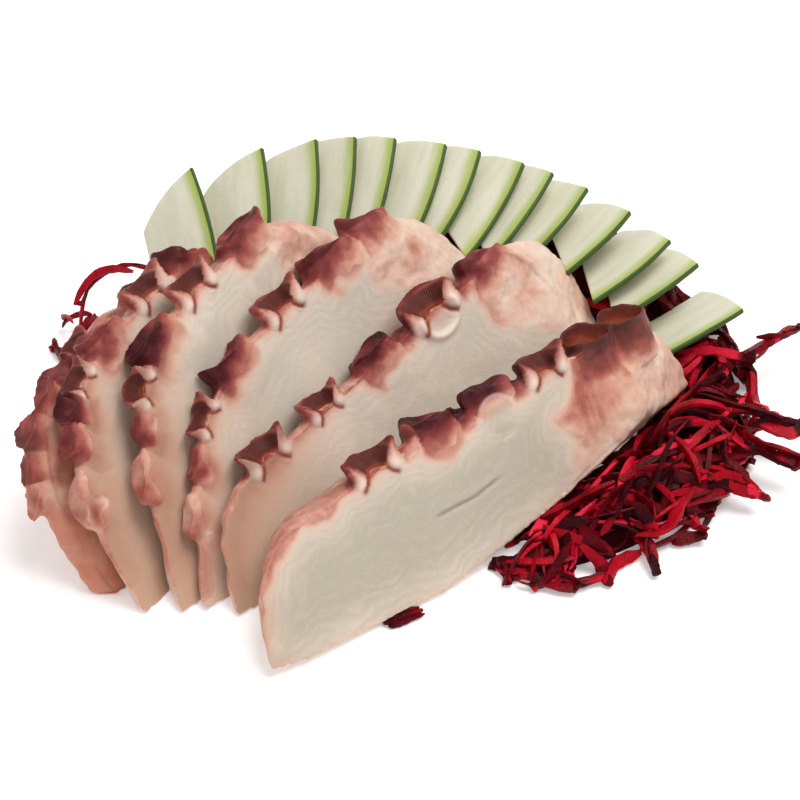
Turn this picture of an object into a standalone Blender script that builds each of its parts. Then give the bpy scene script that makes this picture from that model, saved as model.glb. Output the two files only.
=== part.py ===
"""Sliced cooked octopus arm, fanned out beside a bed of shredded beet and a fan of cucumber.

Six wedge-shaped slices of one thick arm lean back on each other in the order they were cut.
Two rows of suckers run along the rim of every slice: some were cut through by the knife and
end flush with the cut face, the others stand whole behind it.  A bank of shredded raw beet
curls round the right and back of the arm and carries fourteen thin cucumber slices.

The sizes below are in millimetres.  X runs along the row, Y away from the front, Z up.
The finished food is moved at the end so that the origin is at the middle of its underside.
"""

import math
import random
from dataclasses import dataclass

import bmesh
import bpy
from mathutils import Matrix, Vector
from mathutils.bvhtree import BVHTree

COLLECTION_NAME = "sliced_cooked_octopus"
MM = 0.001
CLEARANCE = 0.35          # air left between two pieces that lie against each other
CREASE = math.radians(42.0)   # edges sharper than this stay sharp in the shading

# --- octopus slices -------------------------------------------------------------------
LEAN = math.radians(33.0)      # how far the cut faces lean back from upright
RIM_STEPS = 30                 # points round the outline of a cut face
# Outlines through a slice: share of the thickness, how far the skin bulges there, and how
# far the outline draws in to its middle.  The last slice has a rounded natural back.
SLICE_RINGS = ((0.0, 0.0, 1.0), (0.35, 0.5, 1.0), (0.75, 0.3, 1.0), (1.0, -0.5, 1.0))
END_SLICE_RINGS = (
    (0.0, 0.0, 1.0), (0.3, 0.7, 1.0), (0.6, 0.4, 0.98), (0.85, 0.0, 0.82), (1.0, 0.0, 0.5))
SUCKER_SIDES = 9
SUCKER_SUNK = 0.34             # part of a sucker's radius that is buried in the rim
# Sucker section: distance from its axis and height above the rim, in sucker radii.
SUCKER_SECTION = ((0.72, -0.34), (0.86, 0.16), (1.0, 0.62), (0.78, 0.60), (0.42, 0.14))
SUCKER_HEART = 0.12            # height of the middle of the cup, in sucker radii


@dataclass(frozen=True)
class ArmSlice:
    """Sizes of one slice: across the cut face (along), up the cut face, and behind it."""

    foot: tuple                # where the left end of the cut face meets the ground
    turn: float                # heading of the cut face, degrees from +X
    raised: float              # height of the underside above the ground
    start: float               # left end of the cut face, measured from the foot
    length: float              # length of the cut face
    left_height: float
    right_height: float
    crown: float               # extra height half way along
    left_round: float          # length of the rounded left end
    left_power: float          # how square that end is
    right_round: float
    right_power: float
    left_lift: float           # how far the underside curls up at each end
    right_lift: float
    run_back: float            # the skin at the right end runs on by this for each mm of depth
    thickest: float            # no part of the slice is thicker than this
    suckers: tuple             # (along, up, setback, radius) of each sucker's middle


ARM_SLICES = (
    ArmSlice((-15.0, -45.9), 34.5, 1.2, -5.2, 79.2, 18.8, 26.5, 1.5, 11, 2.2, 9, 2.2, 1.4, 11.0, 1.45, 11.5,
             ((22.6, 22.8, 0.4, 4.6), (35.8, 24.0, 4.4, 4.7), (45.7, 24.9, 0.2, 4.7),
              (57.0, 26.0, 0.6, 4.6), (68.6, 25.6, 4.2, 4.6), (79.2, 26.0, 4.8, 4.5))),
    ArmSlice((-24.0, -34.4), 40.0, 0.0, -1.0, 78.0, 17.5, 35.0, 0.0, 9, 2.4, 11, 2.2, 0.8, 8.0, 1.25, 8.5,
             ((14.3, 19.2, 0.5, 4.6), (27.0, 22.6, 2.6, 3.8), (40.0, 26.0, 3.0, 4.2),
              (53.0, 27.4, 0.3, 5.0), (66.6, 30.6, 3.6, 4.6))),
    ArmSlice((-28.5, -32.5), 46.5, 0.0, -0.5, 72.0, 27.0, 40.5, 2.0, 28, 2.2, 20, 2.2, 0.8, 8.0, 1.10, 8.5,
             ((4.6, 12.5, 0.6, 3.4), (7.4, 22.0, 1.8, 3.4), (13.4, 26.0, 0.4, 3.6),
              (22.6, 30.4, 2.6, 4.4), (35.2, 34.0, 0.4, 4.6), (48.8, 35.6, 3.2, 4.8),
              (59.4, 37.6, 4.0, 4.8))),
    ArmSlice((-32.4, -32.5), 53.0, 0.0, -0.5, 66.0, 34.0, 43.5, 3.0, 24, 2.2, 24, 2.2, 0.8, 7.0, 0.95, 8.5,
             ((2.8, 22.5, 0.8, 3.4), (7.2, 29.0, 1.6, 3.4), (11.8, 33.4, 0.4, 3.4),
              (19.2, 36.8, 2.4, 4.2), (29.8, 40.0, 0.4, 4.5), (44.6, 41.0, 2.8, 4.6))),
    ArmSlice((-39.8, -34.4), 59.0, 0.0, -0.5, 60.0, 33.0, 38.0, 3.0, 18, 2.4, 22, 2.2, 0.8, 6.0, 0.90, 8.0,
             ((2.6, 20.9, 0.8, 4.2), (5.2, 30.6, 1.6, 3.2), (9.6, 34.4, 2.0, 3.2),
              (13.4, 36.4, 0.6, 3.2), (22.8, 38.6, 2.8, 4.4), (34.4, 40.0, 0.4, 4.6),
              (46.0, 39.4, 3.0, 4.6))),
    ArmSlice((-46.0, -33.8), 65.0, 0.0, 3.0, 50.0, 27.5, 34.0, 2.5, 14, 2.6, 22, 2.2, 0.8, 6.0, 0.50, 7.5,
             ((4.8, 20.4, 3.6, 2.8), (7.0, 25.0, 3.4, 2.6), (11.2, 28.4, 3.0, 2.8),
              (16.4, 30.2, 2.5, 2.9), (21.2, 32.2, 2.2, 3.0), (26.6, 33.2, 1.0, 3.2),
              (48.0, 33.6, 2.0, 4.2))),
)

# --- cucumber fan ---------------------------------------------------------------------
FAN_CENTRE = Vector((-6.6, -14.4, -22.5))  # the tips lie on a circle about this point
FAN_RADIUS = 87.6
FAN_SLOPE = math.radians(35.0)             # the fan rises to the back
# Bearing of each tip from the fan's centre, and heading of each slice, degrees from +Y.
FAN_BEARINGS = (-20.8, -12.1, -5.5, -0.8, 3.9, 9.9, 14.1, 19.5, 23.3, 27.8, 33.6, 39.3, 43.5, 51.0)
FAN_HEADINGS = (-16.5, -3.4, 4.6, 9.6, 14.6, 19.8, 24.4, 29.6, 33.6, 38.0, 42.8, 47.1, 50.6, 55.0)
FAN_PITCH = (33.0, 6.0)                    # rise of the first and of the last slice, degrees
CUCUMBER_TILT = math.radians(28.0)         # each slice lies with its skin edge on the next
CUCUMBER_WIDTH = 12.5
CUCUMBER_THICK = 1.8
CUCUMBER_LENGTHS = (24.0, 25.0, 25.0, 25.0, 24.5, 24.0, 20.5, 23.0, 22.5, 21.0, 18.5, 20.5, 21.0, 22.0)
CUCUMBER_FOOT_SLANT = 9.0                  # the hidden end is cut at a slant
CUCUMBER_BOW = 1.1                         # how far the skin edge bows out
TIP_SLANTS = (7.5, 6.0, 4.5, 1.5, 1.0, 1.0, 0.5, 0.0, 0.0, 0.0, 0.0, 0.0, -0.5, -1.0)
TIP_BULGE = 0.8                            # how far the cut end of a slice bows out

# --- shredded beet --------------------------------------------------------------------
# The bank: middle line, half width and height at each station from the front to the back.
BANK = (
    ((16.5, -26.0), 2.4, 1.4),
    ((24.0, -21.5), 5.0, 4.0),
    ((34.0, -14.5), 8.5, 7.0),
    ((43.0, -5.0), 10.5, 9.0),
    ((49.0, 6.0), 10.5, 10.0),
    ((52.5, 19.0), 9.0, 8.5),
    ((47.0, 34.0), 8.5, 9.0),
    ((35.0, 43.0), 9.5, 14.0),
    ((18.0, 48.0), 9.5, 16.0),
    ((-4.0, 51.0), 9.0, 18.0),
    ((-22.0, 48.0), 7.5, 16.0),
    ((-32.0, 43.0), 3.5, 8.0),
)
BANK_STEPS = 38                # rings along the bank
BANK_ARCH_STEPS = 8
PRESS_REACH = 3.0              # how far round it a piece on the bank presses the shreds down
BANK_UNEVEN = 0.16             # unevenness of the bank, as a share of its width and height
STRAND_SIDES = 4
STRAND_RADIUS = 1.05
# Loose shreds that stand out of the bank: the points each one passes through.
BANK_STRANDS = (
    ((54.0, 17.0, 4.0), (61.0, 20.0, 8.0), (70.4, 26.6, 8.6)),
    ((52.0, 6.0, 4.0), (59.0, 5.5, 8.0), (67.8, 3.2, 5.6)),
    ((49.0, 1.0, 3.5), (58.5, -2.5, 6.5), (66.6, -5.6, 5.2)),
    ((46.0, -4.0, 3.0), (53.0, -7.5, 5.2), (60.2, -11.0, 3.4)),
    ((43.0, -9.0, 3.0), (46.0, -13.5, 3.6), (49.4, -17.4, 2.0)),
    ((37.0, -16.0, 2.0), (40.0, -20.5, 2.4), (41.6, -25.0, 1.3)),
    ((17.5, -25.6, 1.3), (22.5, -27.6, 1.3), (28.0, -29.0, 1.3), (33.8, -26.8, 1.4)),
)
# The small clump that shows behind the last slice, and the bit under the first one.
CLUMP = ((-58.0, 31.5), (6.0, 4.6), 5.5)
CLUMP_STRANDS = (
    ((-58.0, 31.0, 2.4), (-56.5, 37.0, 8.5), (-50.0, 39.0, 12.6), (-43.0, 36.5, 13.0)),
    ((-57.0, 28.0, 2.0), (-61.0, 21.0, 2.0), (-63.2, 13.5, 1.4)),
)
FRONT_BIT = ((0.4, -35.6), (4.2, 1.5), 0.8)


def unit(turn_degrees):
    """Return the along, up and outward directions of a cut face with this heading."""
    turn = math.radians(turn_degrees)
    along = Vector((math.cos(turn), math.sin(turn), 0.0))
    level = Vector((math.sin(turn), -math.cos(turn), 0.0))
    up = Vector((0.0, 0.0, math.cos(LEAN))) - level * math.sin(LEAN)
    out = level * math.cos(LEAN) + Vector((0.0, 0.0, math.sin(LEAN)))
    return along, up, out


def smooth_step(value):
    """Return an even S-shaped ramp from 0 to 1."""
    value = min(max(value, 0.0), 1.0)
    return value * value * (3.0 - 2.0 * value)


class SliceForm:
    """The form of one slice: its outline, its thickness and where its suckers stand."""

    def __init__(self, sizes, behind):
        self.sizes = sizes
        self.behind = behind
        self.along, self.up, self.out = unit(sizes.turn)
        self.foot = Vector((sizes.foot[0], sizes.foot[1], sizes.raised))
        if behind is not None:
            self.back_out = unit(behind.turn)[2]
            self.back_foot = Vector((behind.foot[0], behind.foot[1], behind.raised))

    def place(self, along, up, depth):
        """Return the point at these distances along, up and behind the cut face."""
        return self.foot + self.along * along + self.up * up - self.out * depth

    def thickness(self, along, up):
        """Return how thick the slice is behind a point of its cut face."""
        if self.behind is None:
            return self.sizes.thickest
        gap = (self.place(along, up, 0.0) - self.back_foot).dot(self.back_out)
        return min(gap / self.out.dot(self.back_out) - CLEARANCE, self.sizes.thickest)

    def top(self, share):
        """Return the height of the rim at this share of the length."""
        size = self.sizes
        height = size.left_height + (size.right_height - size.left_height) * share
        height += size.crown * 4.0 * share * (1.0 - share)
        distance = share * size.length
        cap = 1.0
        if distance < size.left_round:
            reach = 1.0 - distance / size.left_round
            cap *= (1.0 - reach ** size.left_power) ** (1.0 / size.left_power)
        if size.length - distance < size.right_round:
            reach = 1.0 - (size.length - distance) / size.right_round
            cap *= (1.0 - reach ** size.right_power) ** (1.0 / size.right_power)
        low = self.bottom(share)
        return low + (height - low) * cap

    def bottom(self, share):
        """Return the height of the underside at this share of the length."""
        size = self.sizes
        if share < 0.12:
            return size.left_lift * (1.0 - share / 0.12) ** 2
        if share > 0.40:
            return size.right_lift * ((share - 0.40) / 0.60) ** 1.25
        return 0.0

    def at_depth(self, share, height_share, depth):
        """Return (along, up) of an outline point carried back through the slice.

        The left end slopes under, the skin at the right end runs on behind the cut, and the
        underside stays level although the cut face leans back.
        """
        size = self.sizes
        slope = 0.6 + (size.run_back - 0.6) * smooth_step((share - 0.45) / 0.5)
        if self.behind is None:
            slope = -0.25 + (size.run_back + 0.25) * smooth_step(share)
        along = size.start + share * size.length + slope * depth
        ground = (math.sin(LEAN) * depth - size.raised) / math.cos(LEAN)
        tuck = math.tan(LEAN) * (1.0 - smooth_step((share - 0.5) / 0.35)) - 0.1
        low = max(self.bottom(share) + tuck * depth, ground)
        high = self.top(share) - 0.22 * share * depth
        return along, low + max(high - low, 0.0) * height_share

    def outline_shares(self):
        """Return (share of length, share of height) for each point round the outline."""
        half = RIM_STEPS // 2
        points = []
        for step in range(half + 1):
            points.append((0.5 - 0.5 * math.cos(math.pi * step / half), 1.0))
        for step in range(half - 1, 0, -1):
            points.append((0.5 - 0.5 * math.cos(math.pi * step / half), 0.0))
        return points

    def ring(self, depth_share, swell, shrink=1.0):
        """Return the outline at a share of the thickness, swollen or shrunk to its middle."""
        flat = []
        for share, height_share in self.outline_shares():
            along, up = self.at_depth(share, height_share, 0.0)
            depth = depth_share * self.thickness(along, up)
            along, up = self.at_depth(share, height_share, depth)
            flat.append(Vector((along, up)))
        pushed = []
        count = len(flat)
        centre = sum(flat, Vector((0.0, 0.0))) / count
        for index, point in enumerate(flat):
            step = flat[(index + 1) % count] - flat[index - 1]
            normal = Vector((-step.y, step.x))
            if normal.length > 1e-6:
                normal.normalize()
            if normal.y < -0.3:
                normal *= 0.0
            moved = centre + (point + normal * swell - centre) * shrink
            depth = depth_share * self.thickness(moved.x, moved.y)
            spot = self.place(moved.x, moved.y, depth)
            if spot.z < self.sizes.raised + 0.4:
                spot.z = self.sizes.raised
            pushed.append(spot)
        return pushed

    def sucker_frame(self, along, up, depth):
        """Return the point on the rim nearest a sucker's middle, and its outward direction."""
        best = None
        steps = 400
        previous = None
        for step in range(steps + 1):
            share = 0.5 - 0.5 * math.cos(math.pi * step / steps)
            point = Vector(self.at_depth(share, 1.0, depth))
            if previous is not None:
                middle = (point + previous) / 2.0
                distance = (middle - Vector((along, up))).length
                if best is None or distance < best[0]:
                    run = point - previous
                    if run.length > 1e-9:
                        best = (distance, middle, Vector((-run.y, run.x)).normalized())
            previous = point
        middle, normal = best[1], best[2]
        return middle, normal


def add_ring_loft(bm, rings):
    """Join closed rings of equal count into a body and close both ends."""
    rows = [[bm.verts.new(point * MM) for point in ring] for ring in rings]
    count = len(rows[0])
    for near, far in zip(rows, rows[1:]):
        for index in range(count):
            after = (index + 1) % count
            bm.faces.new((near[index], near[after], far[after], far[index]))
    bm.faces.new(rows[0][::-1])
    bm.faces.new(rows[-1])


def finish_mesh(bm, name):
    """Weld, close and triangulate a mesh, turn its faces outward and return it."""
    bmesh.ops.remove_doubles(bm, verts=bm.verts, dist=0.00001)
    bmesh.ops.dissolve_degenerate(bm, edges=bm.edges, dist=0.00001)
    bmesh.ops.triangulate(bm, faces=bm.faces)
    bmesh.ops.recalc_face_normals(bm, faces=bm.faces)
    if bm.calc_volume(signed=True) < 0.0:
        bmesh.ops.reverse_faces(bm, faces=bm.faces)
    mesh = bpy.data.meshes.new(name)
    bm.to_mesh(mesh)
    bm.free()
    return mesh


def slice_body(form):
    """Build the flesh of one slice without its suckers."""
    bm = bmesh.new()
    stations = END_SLICE_RINGS if form.behind is None else SLICE_RINGS
    rings = [form.ring(share, swell, shrink) for share, swell, shrink in stations]
    add_ring_loft(bm, rings)
    return finish_mesh(bm, "slice_body")


def sucker_mesh(form, sucker):
    """Build one sucker cup, cut off flush with the faces of its slice."""
    along, up, setback, radius = sucker
    middle, normal = form.sucker_frame(along, up, setback)
    axis_flat = form.along * normal.x + form.up * normal.y
    tilt = math.radians(12.0) if setback > 1.5 else 0.0
    axis = (axis_flat * math.cos(tilt) + form.out * math.sin(tilt)).normalized()
    base = form.place(middle.x, middle.y, setback)
    side = axis.cross(form.out).normalized()
    front = side.cross(axis).normalized()
    bm = bmesh.new()
    rows = []
    for reach, height in SUCKER_SECTION:
        row = []
        for step in range(SUCKER_SIDES):
            angle = 2.0 * math.pi * (step + 0.5) / SUCKER_SIDES
            spoke = side * math.cos(angle) + front * math.sin(angle)
            point = base + spoke * (reach * radius) + axis * (height * radius)
            row.append(bm.verts.new(point * MM))
        rows.append(row)
    for near, far in zip(rows, rows[1:]):
        for step in range(SUCKER_SIDES):
            after = (step + 1) % SUCKER_SIDES
            bm.faces.new((near[step], near[after], far[after], far[step]))
    under = bm.verts.new((base - axis * (SUCKER_SUNK * radius + 0.6)) * MM)
    heart = bm.verts.new((base + axis * (SUCKER_HEART * radius)) * MM)
    for step in range(SUCKER_SIDES):
        after = (step + 1) % SUCKER_SIDES
        bm.faces.new((rows[0][after], rows[0][step], under))
        bm.faces.new((rows[-1][step], rows[-1][after], heart))
    bmesh.ops.recalc_face_normals(bm, faces=bm.faces)
    trim_at_plane(bm, form.place(0.0, 0.0, 0.12), form.out)
    if form.behind is not None:
        back = form.back_foot + form.back_out * (CLEARANCE + 0.12)
        trim_at_plane(bm, back, -form.back_out)
    trim_at_plane(bm, Vector((0.0, 0.0, 0.4)), Vector((0.0, 0.0, -1.0)))
    return finish_mesh(bm, "sucker")


def trim_at_plane(bm, point, direction):
    """Remove what lies beyond a plane on the side it points to, and close the cut."""
    geometry = bm.verts[:] + bm.edges[:] + bm.faces[:]
    cut = bmesh.ops.bisect_plane(
        bm, geom=geometry, dist=0.000001, plane_co=point * MM, plane_no=direction, clear_outer=True)
    edges = [item for item in cut["geom_cut"] if isinstance(item, bmesh.types.BMEdge)]
    if edges:
        bmesh.ops.triangle_fill(bm, edges=edges, use_beauty=True)


def join_solids(name, base_mesh, added_meshes):
    """Unite closed meshes one after another and return the resulting mesh."""
    collection = bpy.context.scene.collection
    body = bpy.data.objects.new(name, base_mesh)
    collection.objects.link(body)
    for mesh in added_meshes:
        if len(mesh.polygons) == 0:
            continue
        tool = bpy.data.objects.new("joined_on", mesh)
        collection.objects.link(tool)
        union = body.modifiers.new("union", "BOOLEAN")
        union.operation = "UNION"
        union.solver = "EXACT"
        union.object = tool
        bpy.context.view_layer.update()
        graph = bpy.context.evaluated_depsgraph_get()
        united = bpy.data.meshes.new_from_object(body.evaluated_get(graph))
        body.modifiers.clear()
        body.data = united
        bpy.data.objects.remove(tool)
    result = body.data
    bpy.data.objects.remove(body)
    bm = bmesh.new()
    bm.from_mesh(result)
    return finish_mesh(bm, name)


def cucumber_mesh(index):
    """Build one thin cucumber slice lying in the fan."""
    count = len(FAN_BEARINGS)
    bearing = math.radians(FAN_BEARINGS[index])
    heading = math.radians(FAN_HEADINGS[index])
    rise = FAN_PITCH[0] + (FAN_PITCH[1] - FAN_PITCH[0]) * smooth_step(index / (count - 1.0))
    slope_out = Vector((0.0, math.cos(FAN_SLOPE), math.sin(FAN_SLOPE)))
    tip = FAN_CENTRE + Vector((1.0, 0.0, 0.0)) * (FAN_RADIUS * math.sin(bearing))
    tip += slope_out * (FAN_RADIUS * math.cos(bearing))
    rise = math.radians(rise)
    long_way = Vector((math.sin(heading), math.cos(heading), 0.0)) * math.cos(rise)
    long_way.z = math.sin(rise)
    flat_up = Vector((0.0, -math.sin(rise), math.cos(rise)))
    across = long_way.cross(flat_up).normalized()
    flat_up = across.cross(long_way).normalized()
    lifted = across * math.cos(CUCUMBER_TILT) + flat_up * math.sin(CUCUMBER_TILT)
    normal = flat_up * math.cos(CUCUMBER_TILT) - across * math.sin(CUCUMBER_TILT)
    length = CUCUMBER_LENGTHS[index]
    slant = TIP_SLANTS[index]
    outline = []
    for step in range(7):
        share = step / 6.0
        bow = CUCUMBER_BOW * math.sin(math.pi * share)
        outline.append(Vector((bow, -length * share)))
    outline.append(Vector((-CUCUMBER_WIDTH, -length + CUCUMBER_FOOT_SLANT)))
    for step in range(6):
        share = step / 6.0
        drop = slant * (1.0 - share) - TIP_BULGE * math.sin(math.pi * share)
        outline.append(Vector((-CUCUMBER_WIDTH * (1.0 - share), -drop)))
    bm = bmesh.new()
    rings = []
    for side in (0.5, -0.5):
        ring = []
        for point in outline:
            spot = tip + lifted * point.x + long_way * point.y + normal * (side * CUCUMBER_THICK)
            ring.append(spot)
        rings.append(ring)
    add_ring_loft(bm, rings)
    return finish_mesh(bm, "cucumber")


def curve_through(points, count):
    """Return count points spread along a smooth curve through the given points."""
    points = [Vector(point) for point in points]
    padded = [points[0] * 2.0 - points[1]] + points + [points[-1] * 2.0 - points[-2]]
    spans = len(points) - 1
    curve = []
    for step in range(count):
        position = step / (count - 1.0) * spans
        span = min(int(position), spans - 1)
        share = position - span
        before, start, end, after = padded[span:span + 4]
        spot = start * 2.0 + (end - before) * share
        spot += (before * 2.0 - start * 5.0 + end * 4.0 - after) * share ** 2
        spot += (start * 3.0 - before - end * 3.0 + after) * share ** 3
        curve.append(spot * 0.5)
    return curve


def strand_mesh(points, radius):
    """Build one loose shred: a bent stick that narrows to its ends."""
    steps = 3 * len(points) - 3
    path = curve_through(points, steps + 1)
    rings = []
    for index, middle in enumerate(path):
        run = path[min(index + 1, steps)] - path[max(index - 1, 0)]
        side = run.cross(Vector((0.0, 0.0, 1.0))).normalized()
        rise = side.cross(run).normalized()
        taper = radius * (0.55 + 0.45 * math.sin(math.pi * min(index / steps + 0.2, 1.0)))
        ring = []
        for step in range(STRAND_SIDES):
            angle = 2.0 * math.pi * (step + 0.25) / STRAND_SIDES
            ring.append(middle + side * (taper * math.cos(angle)) + rise * (taper * math.sin(angle)))
        rings.append(ring)
    bm = bmesh.new()
    add_ring_loft(bm, rings)
    return finish_mesh(bm, "strand")


def lowest_above(trees, spot):
    """Return the height of whatever lies lowest above a point of the ground."""
    lowest = 1000.0
    for tree in trees:
        for step in range(17):
            bearing = math.pi * step / 4.0
            reach = PRESS_REACH * math.ceil(step / 8.0) / 2.0
            nudge = Vector((math.cos(bearing), math.sin(bearing), 0.0)) * reach
            start = (Vector((spot.x, spot.y, -5.0)) + nudge) * MM
            hit = tree.ray_cast(start, Vector((0.0, 0.0, 1.0)))[0]
            if hit is not None:
                lowest = min(lowest, hit.z / MM)
    return lowest


def bank_mesh(trees):
    """Build the bank of shredded beet, pressed down by the food that lies on it."""
    source = random.Random(7)
    stations = curve_through([(spot[0], spot[1], width) for spot, width, height in BANK], BANK_STEPS)
    heights = curve_through([(height, 0.0, 0.0) for spot, width, height in BANK], BANK_STEPS)
    rings = []
    for index, station in enumerate(stations):
        run = stations[min(index + 1, BANK_STEPS - 1)] - stations[max(index - 1, 0)]
        side = Vector((run.y, -run.x, 0.0)).normalized()
        ring = []
        for step in range(BANK_ARCH_STEPS + 1):
            angle = math.pi * step / BANK_ARCH_STEPS
            uneven = 1.0 + source.uniform(-BANK_UNEVEN, BANK_UNEVEN)
            reach = math.cos(angle) * station.z * uneven
            level = math.sin(angle) ** 0.7 * heights[index].x * uneven
            spot = Vector((station.x, station.y, 0.0)) + side * reach
            level = min(level, lowest_above(trees, spot) - 1.4)
            ring.append(Vector((spot.x, spot.y, max(level, 0.3))))
        ring.append(Vector((ring[-1].x, ring[-1].y, 0.0)))
        ring.insert(0, Vector((ring[0].x, ring[0].y, 0.0)))
        rings.append(ring)
    bm = bmesh.new()
    add_ring_loft(bm, rings)
    return finish_mesh(bm, "bank")


def mound_mesh(middle, radii, height, turn_degrees):
    """Build a small uneven mound with a flat underside."""
    source = random.Random(11)
    turn = math.radians(turn_degrees)
    sides = 14
    rings = []
    for level, spread in ((0.0, 1.0), (0.45, 0.95), (0.8, 0.7), (1.0, 0.3)):
        ring = []
        for step in range(sides):
            angle = 2.0 * math.pi * step / sides
            uneven = 1.0 + source.uniform(-0.12, 0.12)
            x = math.cos(angle) * radii[0] * spread * uneven
            y = math.sin(angle) * radii[1] * spread * uneven
            spot_x = middle[0] + x * math.cos(turn) - y * math.sin(turn)
            spot_y = middle[1] + x * math.sin(turn) + y * math.cos(turn)
            ring.append(Vector((spot_x, spot_y, level * height)))
        rings.append(ring)
    bm = bmesh.new()
    add_ring_loft(bm, rings)
    return finish_mesh(bm, "mound")


def add_material(name, colour, roughness):
    """Create a plain material for one kind of food."""
    material = bpy.data.materials.new(name)
    material.use_nodes = True
    shader = material.node_tree.nodes["Principled BSDF"]
    shader.inputs["Base Color"].default_value = (colour[0], colour[1], colour[2], 1.0)
    shader.inputs["Roughness"].default_value = roughness
    shader.inputs["Metallic"].default_value = 0.0
    return material


def add_piece(collection, name, mesh, material):
    """Put a finished mesh into the scene as one named piece."""
    mesh.name = name
    mesh.materials.clear()
    mesh.materials.append(material)
    mesh.polygons.foreach_set("use_smooth", [True] * len(mesh.polygons))
    mesh.set_sharp_from_angle(angle=CREASE)
    piece = bpy.data.objects.new(name, mesh)
    collection.objects.link(piece)
    return piece


def tree_of(piece):
    """Return a search tree of a piece's faces."""
    bm = bmesh.new()
    bm.from_mesh(piece.data)
    tree = BVHTree.FromBMesh(bm)
    bm.free()
    return tree


def centre_on_origin(pieces):
    """Move all meshes so that the origin is at the middle of the underside."""
    points = [vertex.co for piece in pieces for vertex in piece.data.vertices]
    low = Vector([min(point[axis] for point in points) for axis in range(3)])
    high = Vector([max(point[axis] for point in points) for axis in range(3)])
    shift = Vector((-(low.x + high.x) / 2.0, -(low.y + high.y) / 2.0, -low.z))
    for piece in pieces:
        piece.data.transform(Matrix.Translation(shift))
    return shift


def main():
    """Build the slices, the cucumber fan and the shredded beet, and centre them."""
    for thing in list(bpy.data.objects):
        bpy.data.objects.remove(thing, do_unlink=True)
    collection = bpy.data.collections.new(COLLECTION_NAME)
    bpy.context.scene.collection.children.link(collection)
    flesh = add_material("cooked_octopus", (0.62, 0.42, 0.36), 0.45)
    cucumber = add_material("cucumber", (0.62, 0.68, 0.42), 0.40)
    beet = add_material("shredded_beet", (0.32, 0.01, 0.03), 0.35)
    pieces = []
    for index, sizes in enumerate(ARM_SLICES):
        behind = ARM_SLICES[index + 1] if index + 1 < len(ARM_SLICES) else None
        form = SliceForm(sizes, behind)
        cups = [sucker_mesh(form, sucker) for sucker in sizes.suckers]
        name = "octopus_slice_%d" % (index + 1)
        mesh = join_solids(name, slice_body(form), cups)
        pieces.append(add_piece(collection, name, mesh, flesh))
    for index in range(len(FAN_BEARINGS)):
        name = "cucumber_slice_%02d" % (index + 1)
        pieces.append(add_piece(collection, name, cucumber_mesh(index), cucumber))
    trees = [tree_of(piece) for piece in pieces]
    shreds = [strand_mesh(points, STRAND_RADIUS) for points in BANK_STRANDS]
    bank = join_solids("beet_bank", bank_mesh(trees), shreds)
    pieces.append(add_piece(collection, "beet_bank", bank, beet))
    shreds = [strand_mesh(points, STRAND_RADIUS) for points in CLUMP_STRANDS]
    clump = join_solids("beet_clump", mound_mesh(*CLUMP, 60.0), shreds)
    pieces.append(add_piece(collection, "beet_clump", clump, beet))
    pieces.append(add_piece(collection, "beet_front_bit", mound_mesh(*FRONT_BIT, 28.0), beet))
    shift = centre_on_origin(pieces)
    print("moved by", [round(value / MM, 2) for value in shift])


if __name__ == "__main__":
    main()
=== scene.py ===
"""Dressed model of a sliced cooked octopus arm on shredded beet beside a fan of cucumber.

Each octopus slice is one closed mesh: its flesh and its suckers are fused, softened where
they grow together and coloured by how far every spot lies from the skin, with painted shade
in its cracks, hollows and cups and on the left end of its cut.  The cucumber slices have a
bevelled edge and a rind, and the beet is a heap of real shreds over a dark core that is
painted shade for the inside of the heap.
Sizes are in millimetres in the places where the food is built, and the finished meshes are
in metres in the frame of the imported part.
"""

import logging
import math
import random
from dataclasses import dataclass
from enum import Enum

import bmesh
import bpy
import numpy as np
from mathutils import Matrix, Vector
from mathutils.bvhtree import BVHTree
from mathutils.kdtree import KDTree


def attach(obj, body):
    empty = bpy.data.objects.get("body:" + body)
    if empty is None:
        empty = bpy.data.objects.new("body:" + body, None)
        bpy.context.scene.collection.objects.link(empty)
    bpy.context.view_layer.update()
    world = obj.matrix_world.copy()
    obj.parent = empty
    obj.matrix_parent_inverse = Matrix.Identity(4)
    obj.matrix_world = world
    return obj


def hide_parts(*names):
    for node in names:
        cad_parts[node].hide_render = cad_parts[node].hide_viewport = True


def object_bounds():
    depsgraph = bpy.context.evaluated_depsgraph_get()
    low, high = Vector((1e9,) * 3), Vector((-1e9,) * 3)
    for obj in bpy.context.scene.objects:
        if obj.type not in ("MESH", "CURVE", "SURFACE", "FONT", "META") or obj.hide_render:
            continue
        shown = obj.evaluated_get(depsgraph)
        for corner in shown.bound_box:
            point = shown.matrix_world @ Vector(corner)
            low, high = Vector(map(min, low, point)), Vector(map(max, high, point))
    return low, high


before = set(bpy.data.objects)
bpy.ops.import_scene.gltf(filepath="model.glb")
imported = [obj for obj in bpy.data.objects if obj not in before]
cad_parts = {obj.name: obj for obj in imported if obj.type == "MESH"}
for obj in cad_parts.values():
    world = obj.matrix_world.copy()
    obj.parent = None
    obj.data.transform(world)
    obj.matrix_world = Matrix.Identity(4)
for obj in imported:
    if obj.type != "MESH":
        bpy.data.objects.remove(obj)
CAD_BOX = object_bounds()

LOG = logging.getLogger("octopus")
MM = 0.001
SHIFT = Vector((-3.49, -6.66, 0.0))   # from the frame the sizes are given in to the part's frame
CLEARANCE = 0.35                      # air between two slices that lean on each other
LEAN = math.radians(33.0)             # how far the cut faces lean back
VOXEL = 0.34                          # fineness of the fused octopus meshes


class SuckerKind(Enum):
    """How the knife or the cooking left a sucker."""

    CUT = "cut through the middle, two pointed wall ends with a crevice between them"
    WHOLE = "whole, drawn together and dark"
    OPEN = "whole, with a deep open cup"
    RING = "wide cup cut open, with a pale ring of muscle"
    DOME = "cut off centre, a round pale muscle under a dark rim"
    LOBE = "small rounded lobe with a shallow dish"
    HOOK = "small flared sucker with pointed lips"


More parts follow.
